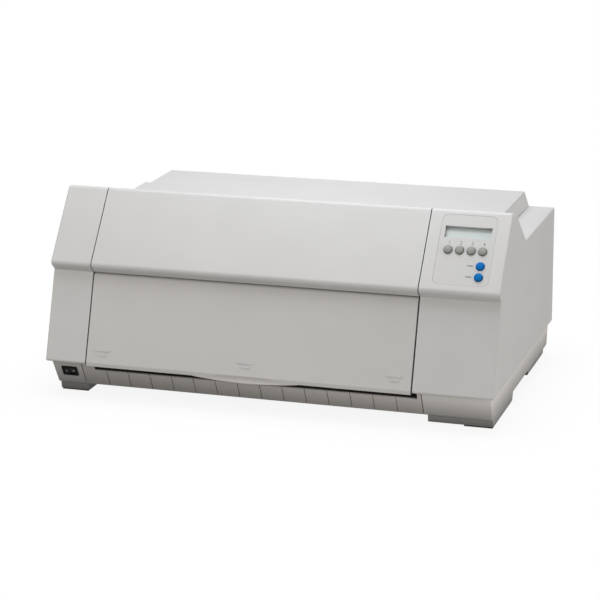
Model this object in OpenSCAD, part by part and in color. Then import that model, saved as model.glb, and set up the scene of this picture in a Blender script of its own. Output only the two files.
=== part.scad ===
// Wide-carriage serial dot matrix printer: a base with feet, an upper housing with
// two end caps, a hinged top cover and front door, a lifting rear cover, an operator
// panel, and the printing and paper-feed mechanism between two side frames.
// X runs to the right, Y to the rear and Z up. The origin is the middle of the
// footprint, on the surface that the printer stands on. All sizes are millimetres.

/* [Body] */
// Width over the end caps
body_w = 590; // [575:1:610]
// Depth from the lower front edge to the rear wall
body_d = 359.5; // [354:0.5:378]
// Height to the top edge of the visor
body_h = 259; // [255:1:264]
// Drop of the rear deck below the top edge
deck_drop = 54; // [50:1:56]
// Height of the seam between base and upper housing
seam_h = 47; // [46:0.5:50]
// Drop of the corner under the visor lip below the top edge
lip_drop = 99; // [97:0.5:102]
// How far the visor lip stands out over the lower front
lip_out = 11.4; // [10:0.1:12.5]
// Height of the rolled visor lip
lip_rise = 10.5; // [9:0.1:12]
// Lean of the lower front from the vertical, degrees
front_lean = 19; // [18:0.5:20]
// Rise of the visor face from the horizontal, degrees
visor_angle = 51.7; // [51:0.1:53]
// Fall of the visor's back slope from the horizontal, degrees
back_angle = 38.6; // [37:0.1:40]
// Depth of the flatter crown behind the visor's top edge
crown_run = 23.8; // [20:0.2:26]
// Fall over that crown
crown_drop = 9.6; // [8:0.2:11]
// Wall of the moulded shells
shell_t = 2.8; // [2.5:0.1:3.2]
// Rounding of the visor's top edge
edge_r = 6; // [5:0.5:7]
// Radius of the rolled visor lip
lip_r = 6; // [5:0.5:7]

/* [End caps] */
// Width of the left end cap
left_end_w = 55; // [52:1:60]
// Width of the right end cap, which holds the operator panel
right_end_w = 102; // [100:1:108]
// Seam left round the top cover and the front door
seam_gap = 1.2; // [1:0.1:1.6]
// Depth of the flange inside each end cap
jamb_depth = 14; // [13:0.5:14.5]

/* [Base] */
// Height of the feet
foot_h = 12.5; // [11:0.5:14]
// Inset of the base sides below the housing
base_inset = 5.5; // [4:0.5:7]
// Setback of the base front below the housing
base_setback = 9; // [8:0.5:11]
// Lean of the base front from the vertical, degrees
base_lean = 26.4; // [24:0.2:28]
// Height of the front paper slot
slot_h = 11; // [10:0.25:12]
// Overhang of the front paper guide past the left of the opening
guide_reach_l = 10; // [8:0.5:12]
// Overhang of the front paper guide past the right of the opening
guide_reach_r = 9.5; // [8:0.5:12]
// Spacing of the grooves in the front paper guide
groove_pitch = 29.6; // [28:0.2:31]
// Width and depth of each groove
groove_w = 0.9; // [0.6:0.1:1.2]
// Length of a front foot
foot_l = 116; // [105:1:125]
// Width of a foot
foot_w = 38; // [34:1:44]
// Width of the right front foot, under the operator panel
wide_foot_w = 82.5; // [76:0.5:88]
// Thickness of the rubber pads
pad_t = 2; // [1.5:0.25:2.5]

/* [Covers] */
// Width of the rear cover at its top
rear_cover_w = 507; // [498:1:512]
// Height of the rear cover above the deck
rear_cover_h = 19.5; // [18.5:0.1:20.5]
// Slope of the rear cover's ends, per side
rear_cover_taper = 7; // [5:0.5:9]
// Radius of the rolled hinge edges of the top cover and door
roll_r = 9; // [8.8:0.05:9.2]
// Diameter of the hinge pins
pin_d = 6; // [5:0.25:6.5]
// Thickness of the hinge knuckles
knuckle_t = 5; // [4:0.5:6]
// Radial running clearance of pins, shafts and bushes
run_gap = 0.05; // [0.03:0.01:0.08]
// Width of the bulged grip at the foot of the front door
grip_w = 140; // [120:2:160]
// Drop of that grip below the door
grip_drop = 4.2; // [3:0.1:4.6]
// Drop of the door's lower edge below the end caps
door_low = 2.2; // [1:0.1:3]

/* [Operator panel] */
// Width of the panel recess
panel_w = 70; // [68:1:74]
// Length of the panel recess up the visor
panel_l = 94.4; // [92:0.4:98]
// Distance from the lip edge to the recess
panel_rise = 11.2; // [10:0.2:13]
// Gap from the recess to the right end of the housing
panel_side = 17; // [15:0.5:19]
// Depth of the recess
panel_recess = 1.2; // [1.1:0.1:1.6]
// Thickness of the panel plate
panel_t = 1; // [0.8:0.1:1.2]
// Width of the display window
window_w = 59; // [56:1:62]
// Height of the display window
window_h = 15.4; // [14:0.2:17]
// Depth of the well round the display window
well_depth = 4; // [3:0.25:5]
// Diameter of the panel buttons
button_d = 10.8; // [10:0.2:11.6]
// Spacing of the four buttons in the row
button_pitch = 14.5; // [14:0.1:15]
// How far a button stands out of the panel
button_out = 2.2; // [1.8:0.1:3]
// Travel of a button
button_travel = 1.2; // [0.8:0.1:1.5]

/* [Power switch] */
// Width of the rocker switch frame
switch_w = 21; // [19:0.5:23]
// Height of the rocker switch frame
switch_h = 15; // [14:0.5:17]
// Distance of the switch from the left side of the housing
switch_side = 27; // [25:0.5:29]

/* [Platen and frames] */
// Thickness of the steel side frames
frame_t = 1.5; // [1.2:0.1:2]
// Gap between the end caps and the side frames
frame_gap = 3; // [2.8:0.1:3.5]
// Platen radius
platen_r = 17; // [16:0.25:17.5]
// Platen axis, from the middle of the depth
platen_y = -3; // [-5:0.5:-1]
// Drop of the platen axis below the top edge
platen_drop = 99; // [98:0.5:101]
// Platen shaft diameter
platen_shaft_d = 10; // [9:0.5:11]
// Gap between the platen and the side frames
platen_end_gap = 4.5; // [4:0.25:6]
// Pressure roller radius
pressure_r = 8; // [7:0.25:8.5]
// Pressure roller shaft diameter
pressure_shaft_d = 8; // [7:0.25:9]

/* [Gears] */
// Tooth module of the feed gears
gear_m = 1.5; // [1.5:0.05:1.55]
// Face width of the gears
gear_w = 7; // [6:0.5:8]
// Teeth of the platen gear
platen_teeth = 32; // [31:1:33]
// Teeth of each idler gear
idler_teeth = 36; // [36:1:37]
// Teeth of the tractor gear
tractor_teeth = 19; // [19:1:20]
// Teeth of the motor pinion
pinion_teeth = 14; // [13:1:15]
// Backlash of a gear, per flank
backlash = 0.12; // [0.1:0.01:0.16]

/* [Carriage] */
// Carriage shaft diameter
carriage_shaft_d = 12; // [11:0.5:13]
// Distance of the carriage shaft in front of the platen
carriage_dy = 56; // [54:0.5:58]
// Drop of the carriage shaft below the platen axis
carriage_dz = 24; // [22:0.5:25]
// Width of the carriage
carriage_w = 44; // [40:1:46]
// Travel of the carriage across the page
carriage_travel = 344; // [330:1:345]
// Radius of the belt pulleys
pulley_r = 6; // [5.5:0.1:6.5]
// Height of the carriage belt
belt_h = 6; // [5:0.5:7]
// Thickness of the carriage belt
belt_t = 1.2; // [1:0.1:1.5]
// Radius of the two stepper motors
motor_r = 20; // [18:0.5:21]
// Length of the stepper motors
motor_l = 34; // [30:1:36]

/* [Tractors] */
// Distance between the tractor shafts
tractor_span = 40; // [38:0.5:42]
// Width of a tractor body
tractor_w = 20; // [18:0.5:22]
// Side of the square drive shaft
square_side = 8; // [7.5:0.1:8.2]
// Diameter of the round guide shaft
guide_shaft_d = 10; // [9:0.5:10.5]
// Middle of the left tractor from the left side frame
left_tractor_in = 22; // [20:1:26]
// Middle of the right tractor from the right side frame
right_tractor_in = 22; // [20:1:26]

/* [Ribbon] */
// Height of the ribbon
ribbon_h = 12.7; // [12:0.1:13]
// Depth of the ribbon cassette
cassette_d = 48; // [44:1:50]
// Height of the ribbon cassette
cassette_h = 18; // [16:0.5:20]
// Width of each cassette arm
cassette_arm_w = 14; // [12:0.5:14.5]

/* [Hidden] */
$fn = 48;

abs_light = "#D9D8D4";
abs_grey = "#C4C2BD";
key_grey = "#A0A098";
key_blue = "#1466B4";
near_black = "#1C1C1E";
rubber_black = "#2A2A2C";
zinc = "#B9BCBE";
bright_steel = "#CDD0D2";
acetal = "#ECE9DF";
board_green = "#2E6B45";
cast_alloy = "#8C8F92";

half_w = body_w / 2;
low_edge_r = 2.5;
front_rounding = low_edge_r * (1 / tan(45 - front_lean / 2) - 1);
front_y = -body_d / 2 - front_rounding;
rear_y = body_d / 2;
lip_h = body_h - lip_drop;
deck_h = body_h - deck_drop;
platen_z = body_h - platen_drop;
open_l = -half_w + left_end_w;
open_r = half_w - right_end_w;
open_mid = (open_l + open_r) / 2;
cover_l = open_l + seam_gap;
cover_r = open_r - seam_gap;
far = 1000;
bite = 1;

// Side outline of the upper housing, corners as [y, z, radius, steps of its arc]
low_front = [front_y, seam_h];
lip_inner = [front_y + (lip_h - seam_h) * tan(front_lean), lip_h];
lip_edge = lip_inner + [-lip_out, lip_rise];
crown = [lip_edge.x + (body_h - lip_edge.y) / tan(visor_angle), body_h];
crown_back = crown + [crown_run, -crown_drop];
deck_front = [crown_back.x + (crown_back.y - deck_h) / tan(back_angle), deck_h];
crown_back_r = 14;
small_r = 0.5;
inner_r_mm = 2;
deck_edge_r = 2;
end_edge_r = 2;
housing_outline = [
    [low_front.x, low_front.y, low_edge_r, 4], [rear_y, seam_h, small_r, 0],
    [rear_y, deck_h, deck_edge_r, 4], [deck_front.x, deck_front.y, inner_r_mm, 3],
    [crown_back.x, crown_back.y, crown_back_r, 4], [crown.x, crown.y, edge_r, 6],
    [lip_edge.x, lip_edge.y, lip_r, 8], [lip_inner.x, lip_inner.y, small_r, 0]
];

// Side outline of the base below the seam
base_top_front = [front_y + base_setback, seam_h];
base_foot_front = [base_top_front.x + (seam_h - foot_h) * tan(base_lean), foot_h];
base_half_w = half_w - base_inset;
base_draft = 1.5;
base_rear_y = rear_y - 1;
base_edge_r = 3.5;
function base_side(top) = [
    [base_foot_front.x, foot_h, base_edge_r], [base_rear_y, foot_h, base_edge_r],
    [base_rear_y, seam_h + top, small_r, 0],
    [base_top_front.x - top * tan(base_lean), seam_h + top, small_r, 0]
];
floor_z = foot_h + shell_t;
foot_setback = 5;
foot_lean = 1.5;
foot_heel = 5;
foot_side = 1.5;
rear_foot_l = 105;
rear_foot_side = 5;
pad_inset = 1;
guide_l = open_l - guide_reach_l;
guide_r = open_r + guide_reach_r;
guide_top_z = seam_h - slot_h;
guide_fit = 0.3;

// Hinge lines, as [y, z]
cover_run = 38;
cover_tangent = deck_front + cover_run * [-cos(back_angle), sin(back_angle)];
cover_axis = cover_tangent - roll_r * [sin(back_angle), cos(back_angle)];
door_drop = 6;
door_tangent = lip_inner - door_drop * [sin(front_lean), cos(front_lean)];
door_axis = door_tangent + roll_r * [cos(front_lean), -sin(front_lean)];
rear_roll_r = rear_cover_h / 2 - 0.2;
lift_gap = 0.4;
rear_axis = [deck_front.x + 5.6, deck_h + lift_gap + rear_roll_r];
pin_r = pin_d / 2;
beam_gap = 2.1;
beam_front = cover_axis.x + roll_r + beam_gap;
beam_back = rear_axis.x - rear_roll_r - 1.2;
beam_drop = 9;
ear_t = 4;
ear_x = rear_cover_w / 2 - 16;
ear_r = 6;
hatch_half = ear_x - 2;
hatch_back = rear_y - 6;
tray_front = 28;
tray_front_z = 186;
tray_t = 2.5;

// Paper line from the front slot, which bends up behind the ribbon and over the platen
slot_mid = [base_top_front.x + 2, seam_h - slot_h / 2];
platen_c = [platen_y, platen_z];
bend_r = 24;
bend_c = platen_c - [platen_r + bend_r, bend_r - 10];
slot_to_bend = bend_c - slot_mid;
paper_angle = atan2(slot_to_bend.y, slot_to_bend.x) - asin(bend_r / norm(slot_to_bend));
along = [cos(paper_angle), sin(paper_angle)];
above = [-sin(paper_angle), cos(paper_angle)];
hole_pitch = 12.7;
pin_count = 5;
wheel_r = pin_count * hole_pitch / (2 * PI);
line_end = slot_mid + sqrt(slot_to_bend * slot_to_bend - bend_r * bend_r) * along;
guide_from_slot = 20;
guide_to_bend = 136;
guide_run = max(guide_from_slot, norm(line_end - slot_mid) - guide_to_bend);
guide_c = slot_mid + guide_run * along - wheel_r * above;
drive_c = guide_c + tractor_span * along;
roller_gap = 0.4;
pressure_dir = 125;
pressure_c = platen_c + (platen_r + pressure_r + roller_gap) * [cos(pressure_dir), sin(pressure_dir)];

// Frames and shafts along X
frame_l = open_l + frame_gap;
frame_r = open_r - frame_gap;
inner_l = frame_l + frame_t;
inner_r = frame_r - frame_t;
frame_top_z = deck_h - 10;
frame_step_y = platen_y - 3;
frame_rear_y = 60;
frame_rear_z = platen_z + 16;
bush_wall = 3;
bush_flange = 2;
shaft_out = 3;
gear_x = frame_r + 4;
gear_end = gear_x + gear_w;
carriage_c = platen_c - [carriage_dy, carriage_dz];
shaft_r = carriage_shaft_d / 2;
guide_r_mm = guide_shaft_d / 2;
journal_r = square_side / 2;
pressure_shaft_r = pressure_shaft_d / 2;
platen_shaft_r = platen_shaft_d / 2;

// Feed gear train
tooth_angle = 25;
platen_gear_r = gear_m * platen_teeth / 2;
idler_gear_r = gear_m * idler_teeth / 2;
tractor_gear_r = gear_m * tractor_teeth / 2;
pinion_r = gear_m * pinion_teeth / 2;
upper_dir = 228;
pinion_dir = -45;
upper_c = platen_c + (platen_gear_r + idler_gear_r) * [cos(upper_dir), sin(upper_dir)];
lower_c = meet(upper_c, 2 * idler_gear_r, drive_c, idler_gear_r + tractor_gear_r);
pinion_c = lower_c + (idler_gear_r + pinion_r) * [cos(pinion_dir), sin(pinion_dir)];
platen_phase = 0;
upper_phase = mesh_phase(platen_phase, platen_teeth, idler_teeth, platen_c, upper_c);
lower_phase = mesh_phase(upper_phase, idler_teeth, idler_teeth, upper_c, lower_c);
tractor_phase = mesh_phase(lower_phase, idler_teeth, tractor_teeth, lower_c, drive_c);
pinion_phase = mesh_phase(lower_phase, idler_teeth, pinion_teeth, lower_c, pinion_c);
stud_r = 4;

// Carriage drive
belt_y = carriage_c.x - 32;
belt_z = carriage_c.y - 11;
belt_half = belt_h / 2;
drive_pulley_x = -half_w + 33;
idler_pulley_x = inner_r - 10.5;
bracket_z = belt_z - 10;
carriage_x = inner_l + 41;
ribbon_y = platen_y - platen_r - 1;
ribbon_t = 0.4;

// Tractors
left_x = inner_l + left_tractor_in;
right_x = inner_r - right_tractor_in;

// Operator panel, measured from the lip edge up the visor
panel_x = half_w - panel_side - panel_w / 2;
panel_mid = panel_rise + panel_l / 2;
window_x = panel_x;
window_v = panel_rise + 71;
row_v = panel_rise + 46.5;
blue_upper_v = panel_rise + 26.8;
blue_lower_v = panel_rise + 12.1;
row_x = panel_x - 21.7;
board_depth = 14;
button_r = button_d / 2;
button_flange = 1.2;
button_clear = 0.3;

// Unit direction, inward normal and the corners of a closed outline moved inwards
function unit(v) = v / norm(v);
function inward(a, b) = let (u = unit(b - a)) [-u.y, u.x];
function flat(p) = [p.x, p.y];
function shrink(pts, d) = [for (i = [0:len(pts) - 1])
    let (a = flat(pts[(i + len(pts) - 1) % len(pts)]), b = flat(pts[i]),
        c = flat(pts[(i + 1) % len(pts)]), m = inward(a, b), n = inward(b, c),
        s = sign(cross(b - a, c - b)), p = b + (m + n) * d / (1 + m * n))
    [p.x, p.y, max(small_r, pts[i][2] - s * d), pts[i][3]]];

// Closed outline with each corner drawn as an arc, or left sharp where it has 0 steps
arc_steps = 4;
function corner(a, b, c, r, n) = n == 0 ? [b] :
    let (u = unit(a - b), v = unit(c - b), h = acos(u * v) / 2, t = r / tan(h),
        o = b + unit(u + v) * r / sin(h), p = b + u * t - o, q = b + v * t - o,
        a0 = atan2(p.y, p.x), da = (atan2(q.y, q.x) - a0 + 540) % 360 - 180)
    [for (i = [0:n]) o + r * [cos(a0 + da * i / n), sin(a0 + da * i / n)]];
function rounded(pts) = [for (i = [0:len(pts) - 1]) each corner(
    flat(pts[(i + len(pts) - 1) % len(pts)]), flat(pts[i]),
    flat(pts[(i + 1) % len(pts)]), pts[i][2], is_undef(pts[i][3]) ? arc_steps : pts[i][3])];

// Crossing of two circles, on the rear side of the line between them
function meet(p, rp, q, rq) =
    let (d = norm(q - p), x = (d * d + rp * rp - rq * rq) / (2 * d), h = sqrt(rp * rp - x * x),
        u = (q - p) / d) p + x * u + h * [u.y, -u.x];

// Turn of a gear that puts its gap against a tooth of the gear it meshes with
function mesh_phase(phase, teeth, next_teeth, c, next_c) =
    let (dir = atan2(next_c.y - c.y, next_c.x - c.x), u = (phase - dir) * teeth / 360)
    dir + 180 - (u + 0.5) * 360 / next_teeth;

// Half the angle of a tooth at radius r
function involute(a) = tan(a) * 180 / PI - a;
function tooth_half(teeth, r) =
    let (rp = gear_m * teeth / 2, rb = rp * cos(tooth_angle))
    90 / teeth + involute(tooth_angle) - involute(acos(min(1, rb / max(r, rb))))
        - backlash / rp * 180 / PI;
function gear_points(teeth, phase) =
    let (rp = gear_m * teeth / 2, radii = [rp - 1.2 * gear_m, rp - 0.6 * gear_m, rp, rp + 0.55 * gear_m,
        rp + gear_m])
    [for (i = [0:teeth - 1]) let (mid = phase + i * 360 / teeth)
        each concat(
            [for (r = radii) r * [cos(mid - tooth_half(teeth, r)), sin(mid - tooth_half(teeth, r))]],
            [for (k = [4:-1:0]) let (r = radii[k])
                r * [cos(mid + tooth_half(teeth, r)), sin(mid + tooth_half(teeth, r))]])];

// Extrudes a [y, z] drawing from x0 to x1, and an [x, z] drawing from y0 to y1
module along_x(x0, x1) {
    translate([x0, 0, 0]) rotate([90, 0, 90]) linear_extrude(x1 - x0) children();
}
module along_y(y0, y1) {
    translate([0, y1, 0]) rotate([90, 0, 0]) linear_extrude(y1 - y0) children();
}
module rod_x(c, r, x0, x1) {
    along_x(x0, x1) translate(c) circle(r);
}
module box(a, b) {
    translate(a) cube(b - a);
}
module rounded_rect(w, h, r) {
    polygon(rounded([[-w / 2, -h / 2, r], [w / 2, -h / 2, r], [w / 2, h / 2, r], [-w / 2, h / 2, r]]));
}

// Places children on the visor face at x, v up from the lip edge, Z pointing out
module on_visor(x, v) {
    translate([x, lip_edge.x + v * cos(visor_angle), lip_edge.y + v * sin(visor_angle)])
        rotate([visor_angle, 0, 0]) children();
}

// Places children on the base front, v down from the seam, Z pointing out
module on_base_front(x, v) {
    translate([x, base_top_front.x + v * sin(base_lean), seam_h - v * cos(base_lean)])
        rotate([90 + base_lean, 0, 0]) children();
}

// Bar with the side outline and rounded end edges
module soft_bar(outline, x0, x1, r) {
    steps = 4;
    turns = [for (i = [0:steps]) 90 * i / steps];
    rings = concat(
        [for (a = turns) [x0 + r * (1 - cos(a)), r * (1 - sin(a))]],
        [for (i = [steps:-1:0]) [x1 - r * (1 - cos(turns[i])), r * (1 - sin(turns[i]))]]);
    loops = [for (g = rings) [for (p = rounded(shrink(outline, g[1]))) [g[0], p.x, p.y]]];
    n = len(loops[0]);
    last = len(loops) - 1;
    sides = [for (k = [0:last - 1]) for (i = [0:n - 1])
        [k * n + i, (k + 1) * n + i, (k + 1) * n + (i + 1) % n, k * n + (i + 1) % n]];
    polyhedron([for (l = loops) each l],
        concat([[for (i = [0:n - 1]) (i + n - 1) % n]], [[for (i = [n - 1:-1:0]) last * n + i]], sides),
        convexity = 6);
}

// Wall drawing of the housing outline, t thick
module skin(t) {
    difference() {
        polygon(rounded(housing_outline));
        polygon(rounded(shrink(housing_outline, t)));
    }
}
// Strip of the side drawing along the lower front, up to the height top
module front_strip(band, top) {
    polygon([[front_y - band, 0], [front_y + band, 0], [front_y + band, seam_h],
        [front_y + band + (top - seam_h) * tan(front_lean), top], [front_y - band, top]]);
}
module arc_band(r, t, a0, a1) {
    reach = 3 * r;
    intersection() {
        difference() {
            circle(r);
            circle(r - t);
        }
        polygon([[0, 0], for (i = [0:3]) reach * [cos(a0 + (a1 - a0) * i / 3), sin(a0 + (a1 - a0) * i / 3)]]);
    }
}

// Base: shell with feet, floor posts and openings
board_w = 190;
board_l = 150;
board_x = 45;
board_back = rear_y - 8;
board_z = floor_z + 8;
board_t = 1.6;
post_r = 3.5;
board_posts = [for (sx = [-1, 1], sy = [0, 1])
    [board_x + sx * (board_w / 2 - 6), board_back - 8 - sy * (board_l - 16)]];
supply_w = 130;
supply_l = 88;
supply_x = 80 - half_w;
supply_y = rear_y - 18 - supply_l;
port_w = 66;
port_h = 15;
port_x = board_x - 40;
serial_w = 31;
serial_h = 12;
serial_x = board_x + 45;
inlet_w = 27;
inlet_h = 20;
inlet_x = supply_x + supply_w / 2 + 30;
inlet_z = floor_z + 6;
switch_x = -half_w + switch_side;
switch_v = 17;
switch_body_w = switch_w - 3;
switch_body_h = switch_h - 3;
screw_r = 2;
screw_head_r = 3.8;
screw_head_h = 2.6;
screw_seat_z = seam_h - 11;
boss_r = 5.2;
screw_places = [for (sx = [-1, 1], y = [-12, 52]) [sx * (half_w - 13), y]];
module base_block(d, top) {
    intersection() {
        along_x(-far, far) polygon(rounded(shrink(base_side(top), d)));
        along_y(-far, far) polygon([
            [-base_half_w + base_draft + d, foot_h + d], [base_half_w - base_draft - d, foot_h + d],
            [base_half_w - d, seam_h + top], [-base_half_w + d, seam_h + top]]);
    }
}
module foot(side, front) {
    x1 = base_half_w - (front ? foot_side : rear_foot_side);
    y0 = front ? base_foot_front.x + foot_setback : base_rear_y - rear_foot_l;
    y1 = front ? y0 + foot_l : base_rear_y - foot_side;
    lean = front ? foot_lean : 0;
    w = front && side > 0 ? wide_foot_w : foot_w;
    mirror([side < 0 ? 1 : 0, 0, 0]) along_x(x1 - w, x1)
        polygon([[y0 + lean, pad_t], [y1 - foot_heel, pad_t], [y1, foot_h + bite], [y0, foot_h + bite]]);
}
module base_housing() color(abs_grey) difference() {
    union() {
        difference() {
            base_block(0, 0);
            base_block(shell_t, 3 * shell_t);
        }
        for (side = [-1, 1], front = [true, false]) foot(side, front);
        for (p = board_posts) translate([p.x, p.y, floor_z - bite]) cylinder(r = post_r, h = board_z - floor_z + bite);
        for (p = screw_places) translate([p.x, p.y, foot_h]) cylinder(r = boss_r, h = seam_h - foot_h);
    }
    // mouth for the front paper guide
    box([guide_l, -far, floor_z], [guide_r, base_foot_front.x + foot_setback + 2, far]);
    on_base_front(switch_x, switch_v) translate([0, 0, -shell_t])
        cube([switch_body_w, switch_body_h, 3 * shell_t], center = true);
    box([port_x - port_w / 2 - 0.5, base_rear_y - 2 * shell_t, board_z + board_t],
        [port_x + port_w / 2 + 0.5, far, board_z + board_t + port_h + 0.5]);
    box([serial_x - serial_w / 2 - 0.5, base_rear_y - 2 * shell_t, board_z + board_t],
        [serial_x + serial_w / 2 + 0.5, far, board_z + board_t + serial_h + 0.5]);
    box([inlet_x - inlet_w / 2, base_rear_y - 2 * shell_t, inlet_z],
        [inlet_x + inlet_w / 2, far, inlet_z + inlet_h]);
    for (p = board_posts) translate([p.x, p.y, board_z - 6]) cylinder(r = 1.4, h = 7);
    for (p = screw_places) translate([p.x, p.y, 0]) {
        cylinder(r = screw_r + 0.2, h = far);
        cylinder(r = screw_head_r + 0.3, h = screw_seat_z);
    }
}
module foot_pads() color(rubber_black) for (side = [-1, 1], front = [true, false]) {
    x1 = base_half_w - (front ? foot_side : rear_foot_side) - pad_inset;
    y0 = front ? base_foot_front.x + foot_setback + foot_lean : base_rear_y - rear_foot_l;
    y1 = (front ? y0 + foot_l - foot_lean : base_rear_y - foot_side) - foot_heel;
    mirror([side < 0 ? 1 : 0, 0, 0])
        box([x1 - foot_w + 2 * pad_inset, y0 + pad_inset, 0], [x1, y1 - pad_inset, pad_t]);
}

// Grooved strip along the foot of the front, which leads the paper in
guide_lip = 10;
guide_flange = 14;
guide_end_l = 18;
guide_end_r = 6;
guide_end_gap = 0.6;
function base_front_at(z) = [base_top_front.x + (seam_h - z) * tan(base_lean), z];
module guide_profile() {
    a = base_front_at(guide_top_z);
    b = base_front_at(floor_z);
    t = [shell_t / cos(base_lean), 0];
    polygon([b, b + [guide_flange, 0], b + [guide_flange, shell_t], b + t + [0, shell_t],
        a + t + [-shell_t * tan(base_lean), -shell_t] / 2, a + guide_lip * along - shell_t * above,
        a + guide_lip * along, a]);
}
module guide_end_profile() {
    a = base_front_at(guide_top_z - bite);
    b = base_front_at(seam_h - guide_end_gap);
    t = [shell_t / cos(base_lean), 0];
    polygon([a, a + t, b + t, b]);
}
module front_paper_guide() color(abs_grey) difference() {
    union() {
        along_x(guide_l + guide_fit, guide_r - guide_fit) guide_profile();
        along_x(guide_l + guide_fit, guide_l + guide_end_l) guide_end_profile();
        along_x(guide_r - guide_end_r, guide_r - guide_fit) guide_end_profile();
    }
    count = floor((guide_r - guide_l) / groove_pitch) - 1;
    for (i = [0:count - 1]) {
        x = (guide_l + guide_r) / 2 + (i - (count - 1) / 2) * groove_pitch;
        on_base_front(x, (seam_h - foot_h) / 2) cube([groove_w, far, 2 * groove_w], center = true);
    }
}

// Upper housing with end caps, beam, exit tray and panel seat
module jamb() {
    intersection() {
        difference() {
            polygon(rounded(housing_outline));
            polygon(rounded(shrink(housing_outline, jamb_depth)));
        }
        union() {
            translate([-far, lip_h]) square([far + beam_back, far]);
            front_strip(jamb_depth / cos(front_lean), lip_h + bite);
        }
    }
}
flange_in = 18;
vent_count = 16;
vent_pitch = 8;
vent_w = 3;
vent_h = 36;
vent_z = seam_h + 36;
panel_ledge = 3.5;
panel_corner = 8;
board_margin = 6;
panel_posts = [for (sx = [-1, 1], sv = [-1, 1])
    [panel_x + sx * (panel_w / 2 + 3.4), panel_mid + sv * (panel_l / 2 - 14)]];
tray_back_z = deck_h - 0.5;
tray_slope = (tray_back_z - tray_front_z) / (hatch_back - tray_front);
module tray_profile(t) {
    polygon([[tray_front, tray_front_z], [tray_front, tray_front_z - tray_t],
        [hatch_back + bite, tray_back_z - tray_t], [hatch_back + bite, tray_back_z + t],
        [tray_front + 8, tray_front_z + t + 8 * tray_slope]]);
}
module exit_tray() {
    along_x(-hatch_half - bite, hatch_half + bite) tray_profile(0);
    rib_pitch = 36;
    ribs = floor(hatch_half / rib_pitch);
    for (i = [-ribs:ribs]) along_x(i * rib_pitch - 1, i * rib_pitch + 1) tray_profile(2.5);
    for (side = [-1, 1]) mirror([side < 0 ? 1 : 0, 0, 0]) along_x(hatch_half, hatch_half + tray_t)
        polygon([[beam_back - shell_t, deck_h - shell_t], [tray_front, tray_front_z - tray_t],
            [hatch_back, tray_back_z - tray_t], [hatch_back, deck_h - bite], [beam_back - shell_t, deck_h - bite]]);
}
module hinge_beam() {
    for (wall = [[beam_front, open_l, open_r], [beam_back - shell_t, -hatch_half - tray_t, hatch_half + tray_t]])
        along_x(wall[1] - bite, wall[2] + bite) intersection() {
            polygon(rounded(housing_outline));
            translate([wall[0], deck_h - beam_drop]) square([shell_t, far]);
        }
}
module rear_ear() {
    union() {
        translate(rear_axis) circle(ear_r);
        translate([rear_axis.x - ear_r, deck_h - 1]) square([2 * ear_r, rear_axis.y - deck_h + 1]);
    }
}
module upper_housing() color(abs_light) difference() {
    union() {
        difference() {
            soft_bar(housing_outline, -half_w, half_w, end_edge_r);
            along_x(-half_w + shell_t, half_w - shell_t) polygon(rounded(shrink(housing_outline, shell_t)));
            box([-half_w + flange_in, base_top_front.x + flange_in, 0],
                [half_w - flange_in, rear_y - flange_in, seam_h + shell_t + 1]);
            box([open_l, -far, 0], [open_r, beam_front, far]);
            box([-hatch_half, beam_back, deck_h - shell_t - 1], [hatch_half, hatch_back, far]);
        }
        along_x(open_l - shell_t, open_l) jamb();
        along_x(open_r, open_r + shell_t) jamb();
        hinge_beam();
        exit_tray();
        for (side = [-1, 1]) mirror([side < 0 ? 1 : 0, 0, 0]) along_x(ear_x, ear_x + ear_t) rear_ear();
        for (p = panel_posts) on_visor(p.x, p.y) translate([0, 0, -board_depth])
            cylinder(r = 3, h = board_depth - shell_t + bite);
    }
    on_visor(panel_x, panel_mid) {
        translate([0, 0, -panel_recess]) linear_extrude(far) rounded_rect(panel_w, panel_l, panel_corner);
        translate([0, 0, -2 * shell_t]) linear_extrude(far)
            rounded_rect(panel_w - 2 * panel_ledge, panel_l - 2 * panel_ledge, panel_corner - panel_ledge);
    }
    for (c = [cover_axis, door_axis]) rod_x(c, pin_r, open_l - 2 * shell_t, open_r + 2 * shell_t);
    rod_x(rear_axis, pin_r, -ear_x - 2 * ear_t, ear_x + 2 * ear_t);
    for (i = [0:vent_count - 1]) along_y(rear_y - 2 * shell_t, far)
        translate([supply_x + supply_w / 2 + (i - (vent_count - 1) / 2) * vent_pitch, vent_z]) rounded_rect(vent_w, vent_h, vent_w / 2 - 0.1);
    for (p = screw_places) translate([p.x, p.y, seam_h - 1]) cylinder(r = screw_r + run_gap, h = shell_t + 2);
}

// Top cover: visor skin with a rolled hinge edge, end flanges and ribs
cover_flange = 12;
cover_rib = 7;
lip_seam = 0.6;
module cover_zone() {
    translate([-far, lip_h + lip_seam]) square([far + cover_tangent.x, far]);
}
module cover_flange_shape(depth) {
    intersection() {
        difference() {
            polygon(rounded(housing_outline));
            polygon(rounded(shrink(housing_outline, depth)));
        }
        cover_zone();
    }
}
module top_cover() color(abs_light) difference() {
    union() {
        along_x(cover_l, cover_r) {
            intersection() {
                skin(shell_t);
                cover_zone();
            }
            translate(cover_axis) arc_band(roll_r, shell_t, -40, 90 - back_angle + 1);
        }
        for (x = [cover_l, cover_r - shell_t]) along_x(x, x + shell_t) cover_flange_shape(cover_flange);
        for (i = [1:5]) {
            x = cover_l + (cover_r - cover_l) * i / 6;
            along_x(x - 1, x + 1) cover_flange_shape(cover_rib);
        }
        for (x = [cover_l, cover_r - knuckle_t]) rod_x(cover_axis, roll_r, x, x + knuckle_t);
    }
    rod_x(cover_axis, pin_r + run_gap, cover_l - 1, cover_r + 1);
}

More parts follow.
